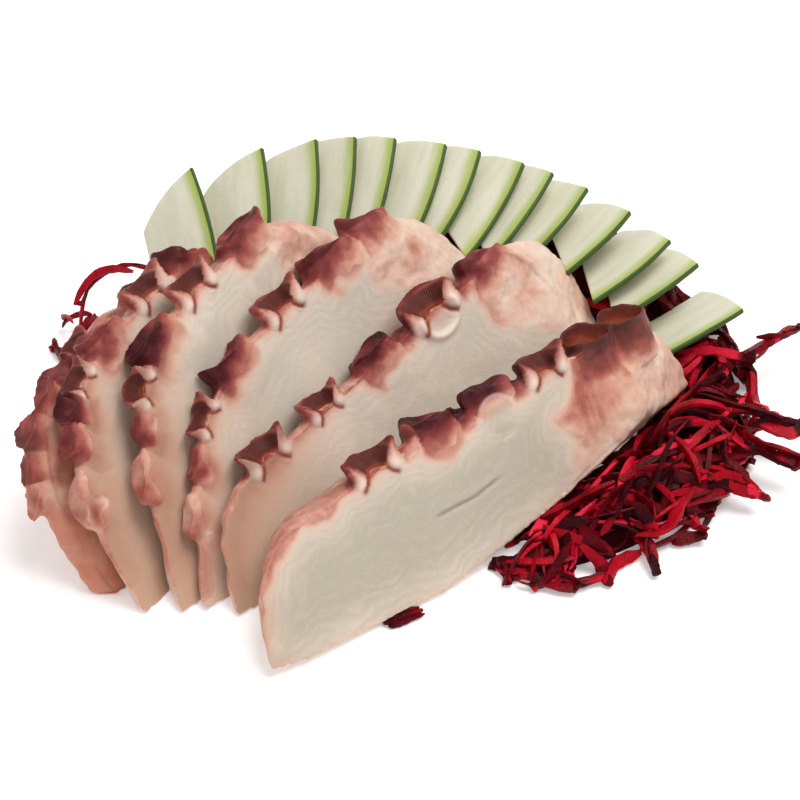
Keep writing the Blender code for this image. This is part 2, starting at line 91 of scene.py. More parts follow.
# Section of each kind: distance from the axis and height above the rim, in sucker radii.
SECTIONS: dict[SuckerKind, tuple[tuple[float, float], ...]] = {
    SuckerKind.CUT: (
        (0.0, -1.1), (1.12, -0.8), (1.06, -0.35), (0.97, 0.0), (0.96, 0.25), (1.01, 0.46),
        (1.05, 0.62), (1.02, 0.72), (0.92, 0.71), (0.78, 0.56), (0.62, 0.38), (0.50, 0.22),
        (0.43, 0.08), (0.41, -0.06), (0.35, -0.12), (0.28, -0.06), (0.21, 0.05), (0.11, 0.11),
        (0.0, 0.13)),
    SuckerKind.WHOLE: (
        (0.0, -1.3), (1.06, -1.15), (1.12, -0.7), (1.09, -0.3), (1.03, 0.05), (0.99, 0.34),
        (0.97, 0.55), (0.92, 0.67), (0.82, 0.68), (0.70, 0.56), (0.52, 0.42), (0.30, 0.34),
        (0.12, 0.31), (0.0, 0.31)),
    SuckerKind.OPEN: (
        (0.0, -1.3), (1.12, -1.2), (1.13, -0.7), (1.10, -0.25), (1.05, 0.12), (1.01, 0.42),
        (0.99, 0.62), (0.96, 0.75), (0.91, 0.79), (0.86, 0.74), (0.81, 0.58), (0.74, 0.38),
        (0.64, 0.20), (0.48, 0.06), (0.28, 0.0), (0.0, -0.01)),
    SuckerKind.RING: (
        (0.0, -0.95), (1.04, -0.7), (1.0, -0.2), (1.0, 0.2), (1.02, 0.46), (1.0, 0.64),
        (0.92, 0.72), (0.82, 0.66), (0.68, 0.46), (0.56, 0.26), (0.48, 0.08), (0.45, -0.08),
        (0.38, -0.14), (0.30, -0.07), (0.22, 0.04), (0.11, 0.09), (0.0, 0.10)),
    SuckerKind.DOME: (
        (0.0, -0.95), (1.08, -0.7), (1.02, -0.3), (0.98, 0.0), (0.98, 0.25), (0.98, 0.46),
        (0.91, 0.62), (0.77, 0.70), (0.62, 0.72), (0.46, 0.66), (0.30, 0.60), (0.14, 0.62),
        (0.0, 0.63)),
    SuckerKind.LOBE: (
        (0.0, -0.95), (1.06, -0.6), (1.02, -0.2), (0.97, 0.10), (0.88, 0.34), (0.74, 0.48),
        (0.56, 0.49), (0.38, 0.40), (0.18, 0.34), (0.0, 0.33)),
    SuckerKind.HOOK: (
        (0.0, -0.95), (1.05, -0.8), (0.94, -0.35), (0.84, -0.05), (0.85, 0.22), (0.93, 0.46),
        (1.0, 0.60), (0.97, 0.69), (0.86, 0.67), (0.66, 0.50), (0.42, 0.36), (0.18, 0.30), (0.0, 0.29)),
}
CUT, WHOLE, OPEN = SuckerKind.CUT, SuckerKind.WHOLE, SuckerKind.OPEN
RING, DOME, LOBE, HOOK = SuckerKind.RING, SuckerKind.DOME, SuckerKind.LOBE, SuckerKind.HOOK


@dataclass(frozen=True)
class Sucker:
    """One sucker on the rim of a slice.

    Attributes:
        along: place along the cut face.
        up: height on the cut face.
        setback: how far the middle stands behind the cut face.
        radius: radius of the cup.
        kind: what the knife left of it.
        dark: how dark its skin is, from 0 to 1.
        stand: how far it stands out of the rim more than the others, mm.
    """

    along: float
    up: float
    setback: float
    radius: float
    kind: SuckerKind
    dark: float = 0.8
    stand: float = 0.0


@dataclass(frozen=True)
class SliceSizes:
    """Sizes of one slice, as the part has them, and where its natural skin shows."""

    foot: tuple[float, float]
    turn: float
    raised: float
    start: float
    length: float
    left_height: float
    right_height: float
    crown: float
    left_round: float
    left_power: float
    right_round: float
    right_power: float
    left_lift: float
    right_lift: float
    run_back: float
    thickest: float
    suckers: tuple[Sucker, ...]
    skin_right: tuple[tuple[float, float], ...] = ()  # (up, along): the cut ends there, skin to the right
    skin_left: tuple[tuple[float, float], ...] = ()   # (up, along): skin to the left of it
    skin_above: tuple[tuple[float, float], ...] = ()  # (along, up): skin above it
    creases: tuple[tuple[float, ...], ...] = ()       # (along, up) of both ends, depth and width
    peach: float = 0.15                               # how orange the skin of the left end is
    left_bleed_and_shade: float = 0.0                           # how far the skin's colour tints the left end of the cut, with painted shade where that end lies deep between slices
    glass_and_shade: float = 0.3                                # how glassy and grey the middle of the muscle is: its translucence, and painted shade where the cut face gets less light
    ripe: float = 0.0                                 # how strongly coloured the skin of the right end is
    spread: float = 0.0                               # how far the left foot spreads on the dish


ARM_SLICES: tuple[SliceSizes, ...] = (
    SliceSizes(
        (-15.0, -45.9), 34.5, 1.2, -5.2, 79.2, 18.8, 26.5, 1.5, 11, 2.2, 9, 2.2, 1.4, 11.0, 1.45, 11.5,
        (Sucker(22.6, 22.8, 0.4, 4.6, CUT, 0.75), Sucker(35.8, 24.0, 4.4, 4.7, WHOLE, 1.0),
         Sucker(45.7, 24.9, 0.2, 4.7, DOME, 0.98), Sucker(57.0, 26.0, 0.6, 4.6, CUT, 0.72),
         Sucker(68.6, 25.6, 4.2, 4.6, OPEN, 1.0, -0.7), Sucker(79.2, 26.0, 4.8, 4.5, OPEN, 1.0, 1.9),
         Sucker(29.4, 23.2, 2.6, 2.4, LOBE, 0.6), Sucker(41.0, 24.4, 2.4, 2.7, LOBE, 0.95),
         Sucker(51.2, 25.4, 2.4, 2.7, LOBE, 0.95)),
        skin_right=((-4.0, 41.0), (3.0, 50.0), (7.5, 56.5), (13.7, 58.4), (19.0, 55.5), (24.0, 52.0), (30.0, 62.0)),
        skin_above=((-7.0, 7.0), (-2.4, 12.1), (1.3, 16.2), (5.3, 18.8), (12.0, 19.6), (15.5, 23.0), (22.0, 45.0)),
        creases=((28.8, 11.8, 44.2, 13.2, 0.50, 0.34),),
        peach=0.6, glass_and_shade=1.0, ripe=1.0),
    SliceSizes(
        (-24.0, -34.4), 40.0, 0.0, -1.0, 79.4, 17.5, 35.0, 0.0, 9, 2.4, 11, 2.2, 0.8, 8.0, 1.25, 8.5,
        (Sucker(14.3, 19.2, 0.5, 4.6, CUT, 0.72), Sucker(27.0, 22.6, 1.4, 3.8, CUT, 0.55),
         Sucker(40.0, 26.0, 3.0, 4.2, WHOLE, 0.95), Sucker(52.8, 27.0, 0.3, 5.5, RING, 0.75),
         Sucker(66.6, 30.6, 3.6, 4.6, WHOLE, 0.8), Sucker(46.4, 26.8, 2.6, 2.6, LOBE, 0.75),
         Sucker(59.6, 29.2, 3.0, 2.8, LOBE, 0.85)),
        skin_right=((5.0, 82.0), (14.0, 78.0), (19.0, 68.0), (23.0, 62.0), (36.0, 58.5)),
        skin_above=((-3.0, 8.0), (0.5, 13.0), (5.0, 16.5), (9.0, 21.0), (14.0, 45.0)), peach=0.3, left_bleed_and_shade=0.9,
        spread=0.8),
    SliceSizes(
        (-28.5, -32.5), 46.5, 0.0, -0.5, 73.6, 27.0, 40.5, 2.0, 28, 2.2, 20, 2.2, 0.8, 8.0, 1.10, 8.5,
        (Sucker(3.6, 14.4, 0.8, 3.5, LOBE, 0.5), Sucker(6.4, 22.8, 1.8, 2.9, LOBE, 0.75),
         Sucker(13.4, 26.0, 0.4, 3.6, CUT, 0.62), Sucker(22.6, 30.4, 2.6, 4.4, WHOLE, 0.95),
         Sucker(35.2, 34.0, 0.4, 4.6, CUT, 0.6), Sucker(48.8, 35.6, 3.2, 4.8, WHOLE, 0.85),
         Sucker(59.4, 37.6, 4.0, 4.8, WHOLE, 0.78)),
        skin_right=((10.0, 76.0), (24.0, 66.0), (28.0, 55.0), (40.0, 47.0)), peach=0.35, left_bleed_and_shade=0.45,
        spread=2.2),
    SliceSizes(
        (-32.4, -32.5), 53.0, 0.0, -0.5, 66.0, 34.0, 43.5, 3.0, 24, 2.2, 24, 2.2, 0.8, 7.0, 0.95, 8.5,
        (Sucker(2.8, 22.5, 0.8, 3.6, LOBE, 0.5), Sucker(7.4, 29.6, 1.6, 2.9, LOBE, 0.8),
         Sucker(11.8, 33.4, 0.4, 3.4, CUT, 0.62), Sucker(19.2, 36.8, 2.4, 4.2, WHOLE, 1.0),
         Sucker(29.8, 40.0, 0.4, 4.5, CUT, 0.55), Sucker(44.6, 41.0, 2.8, 4.6, WHOLE, 0.85)),
        skin_right=((16.0, 70.0), (28.0, 60.0), (32.0, 48.0), (44.0, 44.0)), peach=0.45, left_bleed_and_shade=0.9,
        ripe=0.5, spread=2.6),
    SliceSizes(
        (-39.8, -34.4), 59.0, 0.0, -0.5, 60.0, 33.0, 38.0, 3.0, 18, 2.4, 22, 2.2, 0.8, 6.0, 0.90, 8.0,
        (Sucker(2.6, 20.9, 0.8, 4.2, LOBE, 0.45), Sucker(5.2, 30.6, 1.6, 3.0, HOOK, 0.75),
         Sucker(9.6, 34.4, 2.0, 3.2, HOOK, 0.95), Sucker(13.4, 36.4, 0.6, 3.2, CUT, 0.7),
         Sucker(22.8, 38.6, 2.8, 4.4, WHOLE, 0.72), Sucker(34.4, 40.0, 0.4, 4.6, CUT, 0.55),
         Sucker(46.0, 39.4, 3.0, 4.6, WHOLE, 0.9)),
        peach=0.5, left_bleed_and_shade=1.0),
    SliceSizes(
        (-46.0, -33.8), 65.0, 0.0, 3.0, 50.0, 27.5, 34.0, 2.5, 14, 2.6, 22, 2.2, 0.8, 6.0, 0.50, 7.5,
        (Sucker(4.8, 20.4, 3.6, 2.8, HOOK, 0.45), Sucker(7.0, 25.0, 3.4, 2.5, HOOK, 0.8),
         Sucker(11.2, 28.4, 3.0, 2.8, HOOK, 0.9), Sucker(16.4, 30.2, 2.5, 2.9, HOOK, 0.7),
         Sucker(21.2, 32.2, 2.2, 3.0, WHOLE, 0.8), Sucker(26.6, 33.2, 1.0, 3.2, CUT, 0.6),
         Sucker(48.0, 33.6, 2.0, 4.2, WHOLE, 0.9)),
        skin_left=((-2.0, 5.0), (3.0, 7.5), (14.0, 9.6), (24.0, 12.6), (34.0, 16.0)), peach=0.95, left_bleed_and_shade=0.5),
)


# --- small tools ------------------------------------------------------------------------
def smooth_step(value: np.ndarray | float, low: float = 0.0, high: float = 1.0) -> np.ndarray | float:
    """Return an even ramp from 0 at low to 1 at high.

    Args:
        value: a number or an array of numbers.
        low: where the ramp starts.
        high: where the ramp ends.

    Returns:
        The ramp, of the same shape as value.
    """
    part = np.clip((value - low) / (high - low), 0.0, 1.0)
    return part * part * (3.0 - 2.0 * part)


def linear(hex_colour: str, alpha: float = 1.0) -> tuple[float, float, float, float]:
    """Turn an sRGB hex colour into the linear colour that a shader takes.

    Args:
        hex_colour: six hex digits, with or without a leading #.
        alpha: the fourth number.

    Returns:
        Red, green, blue and alpha.
    """
    digits = hex_colour.lstrip("#")
    parts = [int(digits[index:index + 2], 16) / 255.0 for index in (0, 2, 4)]
    turned = [part / 12.92 if part <= 0.04045 else ((part + 0.055) / 1.055) ** 2.4 for part in parts]
    return turned[0], turned[1], turned[2], alpha


class Unevenness:
    """Smooth random unevenness in space, the same at every run."""

    def __init__(self, seed: int, size: float) -> None:
        """Draw the random lattice.

        Args:
            seed: which unevenness it is.
            size: distance between its hills, in millimetres.
        """
        self.size = size
        self.lattice = np.random.RandomState(seed).uniform(-1.0, 1.0, (32, 32, 32))

    def at(self, points: np.ndarray) -> np.ndarray:
        """Return the unevenness from -1 to 1 at each point.

        Args:
            points: an array of places, one a row.

        Returns:
            One number for each row.
        """
        places = points / self.size
        low = np.floor(places).astype(int)
        part = places - low
        part = part * part * (3.0 - 2.0 * part)
        total = np.zeros(len(points))
        for corner in range(8):
            offset = np.array([corner & 1, corner >> 1 & 1, corner >> 2 & 1])
            spot = (low + offset) % 32
            share = np.prod(np.where(offset == 1, part, 1.0 - part), axis=1)
            total += share * self.lattice[spot[:, 0], spot[:, 1], spot[:, 2]]
        return total * 1.6


def curve_through(points: list[Vector], count: int) -> list[Vector]:
    """Spread points along a smooth curve through the given ones.

    Args:
        points: the points that the curve passes.
        count: how many points to return.

    Returns:
        The points on the curve.
    """
    padded = [points[0] * 2.0 - points[1], *points, points[-1] * 2.0 - points[-2]]
    spans = len(points) - 1
    curve = []
    for step in range(count):
        position = step / (count - 1.0) * spans
        span = min(int(position), spans - 1)
        share = position - span
        before, start, end, after = padded[span:span + 4]
        spot = start * 2.0 + (end - before) * share
        spot += (before * 2.0 - start * 5.0 + end * 4.0 - after) * share ** 2
        spot += (start * 3.0 - before - end * 3.0 + after) * share ** 3
        curve.append(spot * 0.5)
    return curve


def new_object(name: str, data: bpy.types.ID) -> bpy.types.Object:
    """Put a mesh, curve, light or camera into the scene.

    Args:
        name: the object's name.
        data: what it holds.

    Returns:
        The linked object.
    """
    made = bpy.data.objects.new(name, data)
    bpy.context.scene.collection.objects.link(made)
    return made


def evaluated_mesh(holder: bpy.types.Object) -> bpy.types.Mesh:
    """Return the mesh of an object with its modifiers applied, and remove the object."""
    bpy.context.view_layer.update()
    graph = bpy.context.evaluated_depsgraph_get()
    mesh = bpy.data.meshes.new_from_object(holder.evaluated_get(graph))
    bpy.data.objects.remove(holder)
    return mesh


def add_attribute(mesh: bpy.types.Mesh, name: str, values: np.ndarray) -> None:
    """Write one number or one vector for each vertex of a mesh.

    Args:
        mesh: the mesh.
        name: the attribute's name.
        values: one row for each vertex.
    """
    if values.ndim == 1:
        layer = mesh.attributes.new(name, "FLOAT", "POINT")
        layer.data.foreach_set("value", values.astype(np.float32))
    else:
        layer = mesh.attributes.new(name, "FLOAT_VECTOR", "POINT")
        layer.data.foreach_set("vector", values.astype(np.float32).ravel())


def vertex_places(mesh: bpy.types.Mesh) -> np.ndarray:
    """Return the places of a mesh's vertices, one a row."""
    places = np.zeros(len(mesh.vertices) * 3, np.float32)
    mesh.vertices.foreach_get("co", places)
    return places.reshape(-1, 3).astype(float)


def vertex_normals(mesh: bpy.types.Mesh) -> np.ndarray:
    """Return the normals of a mesh's vertices, one a row."""
    normals = np.zeros(len(mesh.vertices) * 3, np.float32)
    mesh.vertex_normals.foreach_get("vector", normals)
    return normals.reshape(-1, 3).astype(float)


def set_places(mesh: bpy.types.Mesh, places: np.ndarray) -> None:
    """Move a mesh's vertices to new places, one a row."""
    mesh.vertices.foreach_set("co", places.astype(np.float32).ravel())
    mesh.update()


def dress(piece: bpy.types.Object, material: bpy.types.Material, slot: str, *nodes: str) -> None:
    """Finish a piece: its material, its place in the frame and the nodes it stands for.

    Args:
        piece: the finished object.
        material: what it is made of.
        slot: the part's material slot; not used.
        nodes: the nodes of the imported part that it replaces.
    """
    piece.data.materials.clear()
    piece.data.materials.append(material)
    piece.data.polygons.foreach_set("use_smooth", [True] * len(piece.data.polygons))
    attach(piece, "root")
    if nodes:
        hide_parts(*nodes)
    LOG.info("%s: %d vertices, %d faces", piece.name, len(piece.data.vertices), len(piece.data.polygons))


# --- finishes ---------------------------------------------------------------------------
def add_node(
    tree: bpy.types.NodeTree,
    kind: str,
    inputs: dict[str | int, object] | None = None,
    stops: tuple[tuple[float, str], ...] = (),
    **settings: object,
) -> bpy.types.Node:
    """Add one shader node with its settings, ramp stops and links.

    Args:
        tree: the material's node tree.
        kind: the node's type.
        inputs: a value or an output socket for each named or numbered input.
        stops: places and hex colours of a colour ramp.
        settings: the node's own properties.

    Returns:
        The new node.
    """
    made = tree.nodes.new(kind)
    for name, value in settings.items():
        setattr(made, name, value)
    for key, value in (inputs or {}).items():
        if isinstance(value, bpy.types.NodeSocket):
            tree.links.new(value, made.inputs[key])
        else:
            made.inputs[key].default_value = value
    if stops:
        elements = made.color_ramp.elements
        while len(elements) < len(stops):
            elements.new(0.5)
        for element, (place, colour) in zip(elements, stops):
            element.position = place
            element.color = linear(colour)
    return made


def new_material(name: str) -> tuple[bpy.types.Material, bpy.types.NodeTree, bpy.types.Node]:
    """Make a material with one Principled shader.

    Args:
        name: what the real material is.

    Returns:
        The material, its node tree and its shader.
    """
    material = bpy.data.materials.new(name)
    material.use_nodes = True
    tree = material.node_tree
    return material, tree, tree.nodes["Principled BSDF"]


@dataclass(frozen=True)
class OctopusFinish:
    """Boiled octopus: firm white muscle, and a thin skin that goes from pink to purple-brown.

    Boiling turns the muscle opaque and a little wet, so the cut shines softly.  The pigment
    sits in the skin alone, is darkest on the lips of the suckers and bleeds a little way
    into the cut.  Painted shade darkens cracks, slits, hollows and the bottoms of the cups,
    and adds to the grey middle of the cut and the tint of its left ends.
    """

    tones: tuple[tuple[float, str], ...] = (
        (0.00, "DBCCBD"), (0.14, "D8B5A2"), (0.32, "C08A79"), (0.50, "9C554C"),
        (0.66, "7D3736"), (0.82, "561E21"), (1.00, "330D13"))
    flesh: str = "D6CABC"
    flesh_cool: str = "C6BEB1"
    # grey of the glassy middle of the cut: the muscle's translucence, and painted shade where the face gets less
    # light
    deep: str = "ADA495"
    peach: str = "C27F66"
    # beige-brown of the cut's left ends: partly their own colour and partly painted shade where they lie deep between
    # slices
    tan: str = "B3947D"
    pearl: str = "E3D2C6"
    # red-brown of the cup linings, also used as painted shade in cracks, slits, hollows and cup bottoms
    crevice: str = "86381F"
    groove_dark: str = "3F1A18"
    groove_pale: str = "70362F"
    roughness: float = 0.42
    mottle_size: float = 2.2        # size of the blotches in the skin, mm
    cloud_size: float = 9.0         # size of the cloudy places in the muscle, mm
    grain_size: float = 0.45        # fine grain of skin and muscle, drawn coarser than it is
    line_spacing: float = 1.9      # spacing of the faint lines that follow the skin, mm
    grooves: float = 58.0           # radial grooves round the inside of a sucker

    def build(self) -> bpy.types.Material:
        """Return the material."""
        material, tree, shader = new_material("boiled_octopus")
        place = add_node(tree, "ShaderNodeTexCoord").outputs["Object"]
        value = {}
        for name in ("tone", "cut", "edge", "stain_and_shade", "peach", "cup", "glass_and_shade", "pearl"):
            value[name] = add_node(tree, "ShaderNodeAttribute", attribute_name=name).outputs["Fac"]
        turn = add_node(tree, "ShaderNodeAttribute", attribute_name="cup_turn").outputs["Vector"]
        mottle = add_node(tree, "ShaderNodeTexNoise", {
            "Vector": place, "Scale": 1000.0 / self.mottle_size, "Detail": 4.0, "Roughness": 0.6})
        cloud = add_node(tree, "ShaderNodeTexNoise", {
            "Vector": place, "Scale": 1000.0 / self.cloud_size, "Detail": 2.0})
        grain = add_node(tree, "ShaderNodeTexNoise", {
            "Vector": place, "Scale": 1000.0 / self.grain_size, "Detail": 2.0})
        # Blotches shift the tone of the skin and hardly touch the cut.
        loose = add_node(tree, "ShaderNodeMath", {0: 1.0, 1: value["cut"]}, operation="SUBTRACT")
        reach = add_node(tree, "ShaderNodeMath", {0: loose.outputs[0], 1: 0.36, 2: 0.05}, operation="MULTIPLY_ADD")
        swing = add_node(tree, "ShaderNodeMath", {0: mottle.outputs["Fac"], 1: 0.5}, operation="SUBTRACT")
        shifted = add_node(tree, "ShaderNodeMath", {
            0: swing.outputs[0], 1: reach.outputs[0], 2: value["tone"]}, operation="MULTIPLY_ADD")
        skin = add_node(tree, "ShaderNodeValToRGB", {"Fac": shifted.outputs[0]}, stops=self.tones)
        # Cloudy white muscle with faint lines that run along under the skin.
        clouds = add_node(tree, "ShaderNodeValToRGB", {"Fac": cloud.outputs["Fac"]},
                          stops=((0.35, self.flesh_cool), (0.65, self.flesh)))
        wavy = add_node(tree, "ShaderNodeMath", {
            0: cloud.outputs["Fac"], 1: 11.0, 2: value["edge"]}, operation="MULTIPLY_ADD")
        turns = add_node(tree, "ShaderNodeMath", {
            0: wavy.outputs[0], 1: 2.0 * math.pi / self.line_spacing}, operation="MULTIPLY")
        wave = add_node(tree, "ShaderNodeMath", {0: turns.outputs[0]}, operation="SINE")
        fade = add_node(tree, "ShaderNodeMapRange", {
            "Value": value["edge"], 1: 0.6, 2: 12.0, 3: 0.10, 4: 0.0})
        patchy = add_node(tree, "ShaderNodeMapRange", {
            "Value": mottle.outputs["Fac"], 1: 0.36, 2: 0.60, 3: 0.0, 4: 1.0}, interpolation_type="SMOOTHSTEP")
        seen = add_node(tree, "ShaderNodeMath", {0: fade.outputs[0], 1: patchy.outputs[0]}, operation="MULTIPLY")
        line = add_node(tree, "ShaderNodeMath", {
            0: wave.outputs[0], 1: seen.outputs[0], 2: 1.0}, operation="MULTIPLY_ADD")
        grey = add_node(tree, "ShaderNodeMapRange", {
            "Value": grain.outputs["Fac"], 1: 0.3, 2: 0.7, 3: 0.965, 4: 1.03})
        lit = add_node(tree, "ShaderNodeMath", {0: line.outputs[0], 1: grey.outputs[0]}, operation="MULTIPLY")
        # The middle of the cut, away from the skin, turns grey: partly translucence and partly painted shade.
        glassy = add_node(tree, "ShaderNodeMapRange", {
            "Value": value["edge"], 1: 0.5, 2: 6.0, 3: 0.45, 4: 0.92}, interpolation_type="SMOOTHSTEP")
        clear = add_node(tree, "ShaderNodeMath", {0: glassy.outputs[0], 1: value["glass_and_shade"]}, operation="MULTIPLY")
        inner = add_node(tree, "ShaderNodeMix", {
            0: clear.outputs[0], 6: clouds.outputs["Color"], 7: linear(self.deep)},
            data_type="RGBA", blend_type="MIX")
        muscle = add_node(tree, "ShaderNodeMix", {
            0: 1.0, 6: inner.outputs[2], 7: lit.outputs[0]}, data_type="RGBA", blend_type="MULTIPLY")
        # The cut shows muscle where the tone is low and skin where the pigment has bled in.
        bled = add_node(tree, "ShaderNodeMapRange", {"Value": shifted.outputs[0], 1: 0.0, 2: 0.22, 3: 1.0, 4: 0.0})
        pale = add_node(tree, "ShaderNodeMath", {0: bled.outputs[0], 1: value["cut"]}, operation="MULTIPLY")
        raw = add_node(tree, "ShaderNodeMix", {
            0: pale.outputs[0], 6: skin.outputs["Color"], 7: muscle.outputs[2]},
            data_type="RGBA", blend_type="MIX")
        # Skin mixes towards peach and the cut towards tan, which at the left ends is partly painted shade.
        tint = add_node(tree, "ShaderNodeMix", {
            0: value["cut"], 6: linear(self.peach), 7: linear(self.tan)}, data_type="RGBA", blend_type="MIX")
        body = add_node(tree, "ShaderNodeMix", {
            0: value["peach"], 6: raw.outputs[2], 7: tint.outputs[2]}, data_type="RGBA", blend_type="MIX")
        # Radial grooves inside the cups.
        parts = add_node(tree, "ShaderNodeSeparateXYZ", {0: turn})
        angle = add_node(tree, "ShaderNodeMath", {0: parts.outputs[1], 1: parts.outputs[0]}, operation="ARCTAN2")
        wander = add_node(tree, "ShaderNodeMath", {0: swing.outputs[0], 1: 6.0}, operation="MULTIPLY")
        ridges = add_node(tree, "ShaderNodeMath", {
            0: angle.outputs[0], 1: self.grooves, 2: wander.outputs[0]}, operation="MULTIPLY_ADD")
        stripes = add_node(tree, "ShaderNodeMath", {0: ridges.outputs[0]}, operation="SINE")
        groove = add_node(tree, "ShaderNodeMapRange", {
            "Value": stripes.outputs[0], 1: -1.0, 2: 1.0, 3: 0.0, 4: 1.0})
        grooved = add_node(tree, "ShaderNodeMix", {
            0: groove.outputs[0], 6: linear(self.groove_dark), 7: linear(self.groove_pale)},
            data_type="RGBA", blend_type="MIX")
        pearly = add_node(tree, "ShaderNodeMix", {
            0: value["pearl"], 6: body.outputs[2], 7: linear(self.pearl)}, data_type="RGBA", blend_type="MIX")
        cupped = add_node(tree, "ShaderNodeMix", {
            0: value["cup"], 6: pearly.outputs[2], 7: grooved.outputs[2]}, data_type="RGBA", blend_type="MIX")
        # Crevice colour: the red-brown lining of the cups, and painted shade in cracks, slits, hollows and the
        # bottoms of cups.
        stained_and_shaded = add_node(tree, "ShaderNodeMix", {
            0: value["stain_and_shade"], 6: cupped.outputs[2], 7: linear(self.crevice)}, data_type="RGBA", blend_type="MIX")
        tree.links.new(stained_and_shaded.outputs[2], shader.inputs["Base Color"])
        # A wet, finely wrinkled surface.
        rough = add_node(tree, "ShaderNodeMapRange", {
            "Value": mottle.outputs["Fac"], 1: 0.3, 2: 0.7, 3: self.roughness - 0.09, 4: self.roughness + 0.09})
        tree.links.new(rough.outputs[0], shader.inputs["Roughness"])
        high = add_node(tree, "ShaderNodeMath", {
            0: stripes.outputs[0], 1: value["cup"], 2: grain.outputs["Fac"]}, operation="MULTIPLY_ADD")
        taller = add_node(tree, "ShaderNodeMath", {
            0: mottle.outputs["Fac"], 1: loose.outputs[0], 2: high.outputs[0]}, operation="MULTIPLY_ADD")
        bump = add_node(tree, "ShaderNodeBump", {
            "Height": taller.outputs[0], "Strength": 0.35, "Distance": 0.0002})
        tree.links.new(bump.outputs[0], shader.inputs["Normal"])
        shader.inputs["IOR"].default_value = 1.40
        shader.inputs["Specular IOR Level"].default_value = 0.2
        shader.inputs["Subsurface Weight"].default_value = 0.18
        shader.inputs["Subsurface Radius"].default_value = (1.0, 0.45, 0.28)
        shader.inputs["Subsurface Scale"].default_value = 0.0016
        return material


@dataclass(frozen=True)
class CucumberFinish:
    """Raw cucumber: pale watery flesh, a green layer and a thin dark rind along one edge."""

    flesh: str = "DCD8CB"
    wet: str = "C6C5A8"
    green: str = "A3B256"
    rind: str = "37511C"
    roughness: float = 0.36
    streak: float = 1.3             # width of the pale streaks along the slice, mm
    grain_size: float = 0.5         # juicy grain of the cut flesh, mm

    def build(self) -> bpy.types.Material:
        """Return the material."""
        material, tree, shader = new_material("raw_cucumber")
        place = add_node(tree, "ShaderNodeTexCoord").outputs["Object"]
        rind = add_node(tree, "ShaderNodeAttribute", attribute_name="rind").outputs["Fac"]
        lie = add_node(tree, "ShaderNodeAttribute", attribute_name="lie").outputs["Vector"]
        drawn = add_node(tree, "ShaderNodeMapping", {
            "Vector": lie, "Scale": (1.0 / self.streak, 0.12 / self.streak, 1.0)})
        streaks = add_node(tree, "ShaderNodeTexNoise", {"Vector": drawn.outputs[0], "Scale": 1.0, "Detail": 3.0})
        grain = add_node(tree, "ShaderNodeTexNoise", {
            "Vector": place, "Scale": 1000.0 / self.grain_size, "Detail": 2.0})
        wet = add_node(tree, "ShaderNodeMix", {
            0: streaks.outputs["Fac"], 6: linear(self.wet), 7: linear(self.flesh)},
            data_type="RGBA", blend_type="MIX")
        streaky = add_node(tree, "ShaderNodeMath", {
            0: streaks.outputs["Fac"], 1: 1.0, 2: -0.5}, operation="MULTIPLY_ADD")
        depth = add_node(tree, "ShaderNodeMath", {0: rind, 1: streaky.outputs[0]}, operation="ADD")
        greening = add_node(tree, "ShaderNodeMapRange", {
            "Value": depth.outputs[0], 1: 0.4, 2: 3.0, 3: 1.0, 4: 0.0}, interpolation_type="SMOOTHSTEP")
        greened = add_node(tree, "ShaderNodeMix", {
            0: greening.outputs[0], 6: wet.outputs[2], 7: linear(self.green)}, data_type="RGBA", blend_type="MIX")
        skinned = add_node(tree, "ShaderNodeMapRange", {
            "Value": rind, 1: 0.22, 2: 0.55, 3: 1.0, 4: 0.0}, interpolation_type="SMOOTHSTEP")
        colour = add_node(tree, "ShaderNodeMix", {
            0: skinned.outputs[0], 6: greened.outputs[2], 7: linear(self.rind)}, data_type="RGBA", blend_type="MIX")
        tree.links.new(colour.outputs[2], shader.inputs["Base Color"])
        bump = add_node(tree, "ShaderNodeBump", {
            "Height": grain.outputs["Fac"], "Strength": 0.3, "Distance": 0.0002})
        tree.links.new(bump.outputs[0], shader.inputs["Normal"])
        shader.inputs["Roughness"].default_value = self.roughness
        shader.inputs["IOR"].default_value = 1.36
        shader.inputs["Subsurface Weight"].default_value = 0.25
        shader.inputs["Subsurface Radius"].default_value = (0.8, 1.0, 0.5)
        shader.inputs["Subsurface Scale"].default_value = 0.0015
        return material


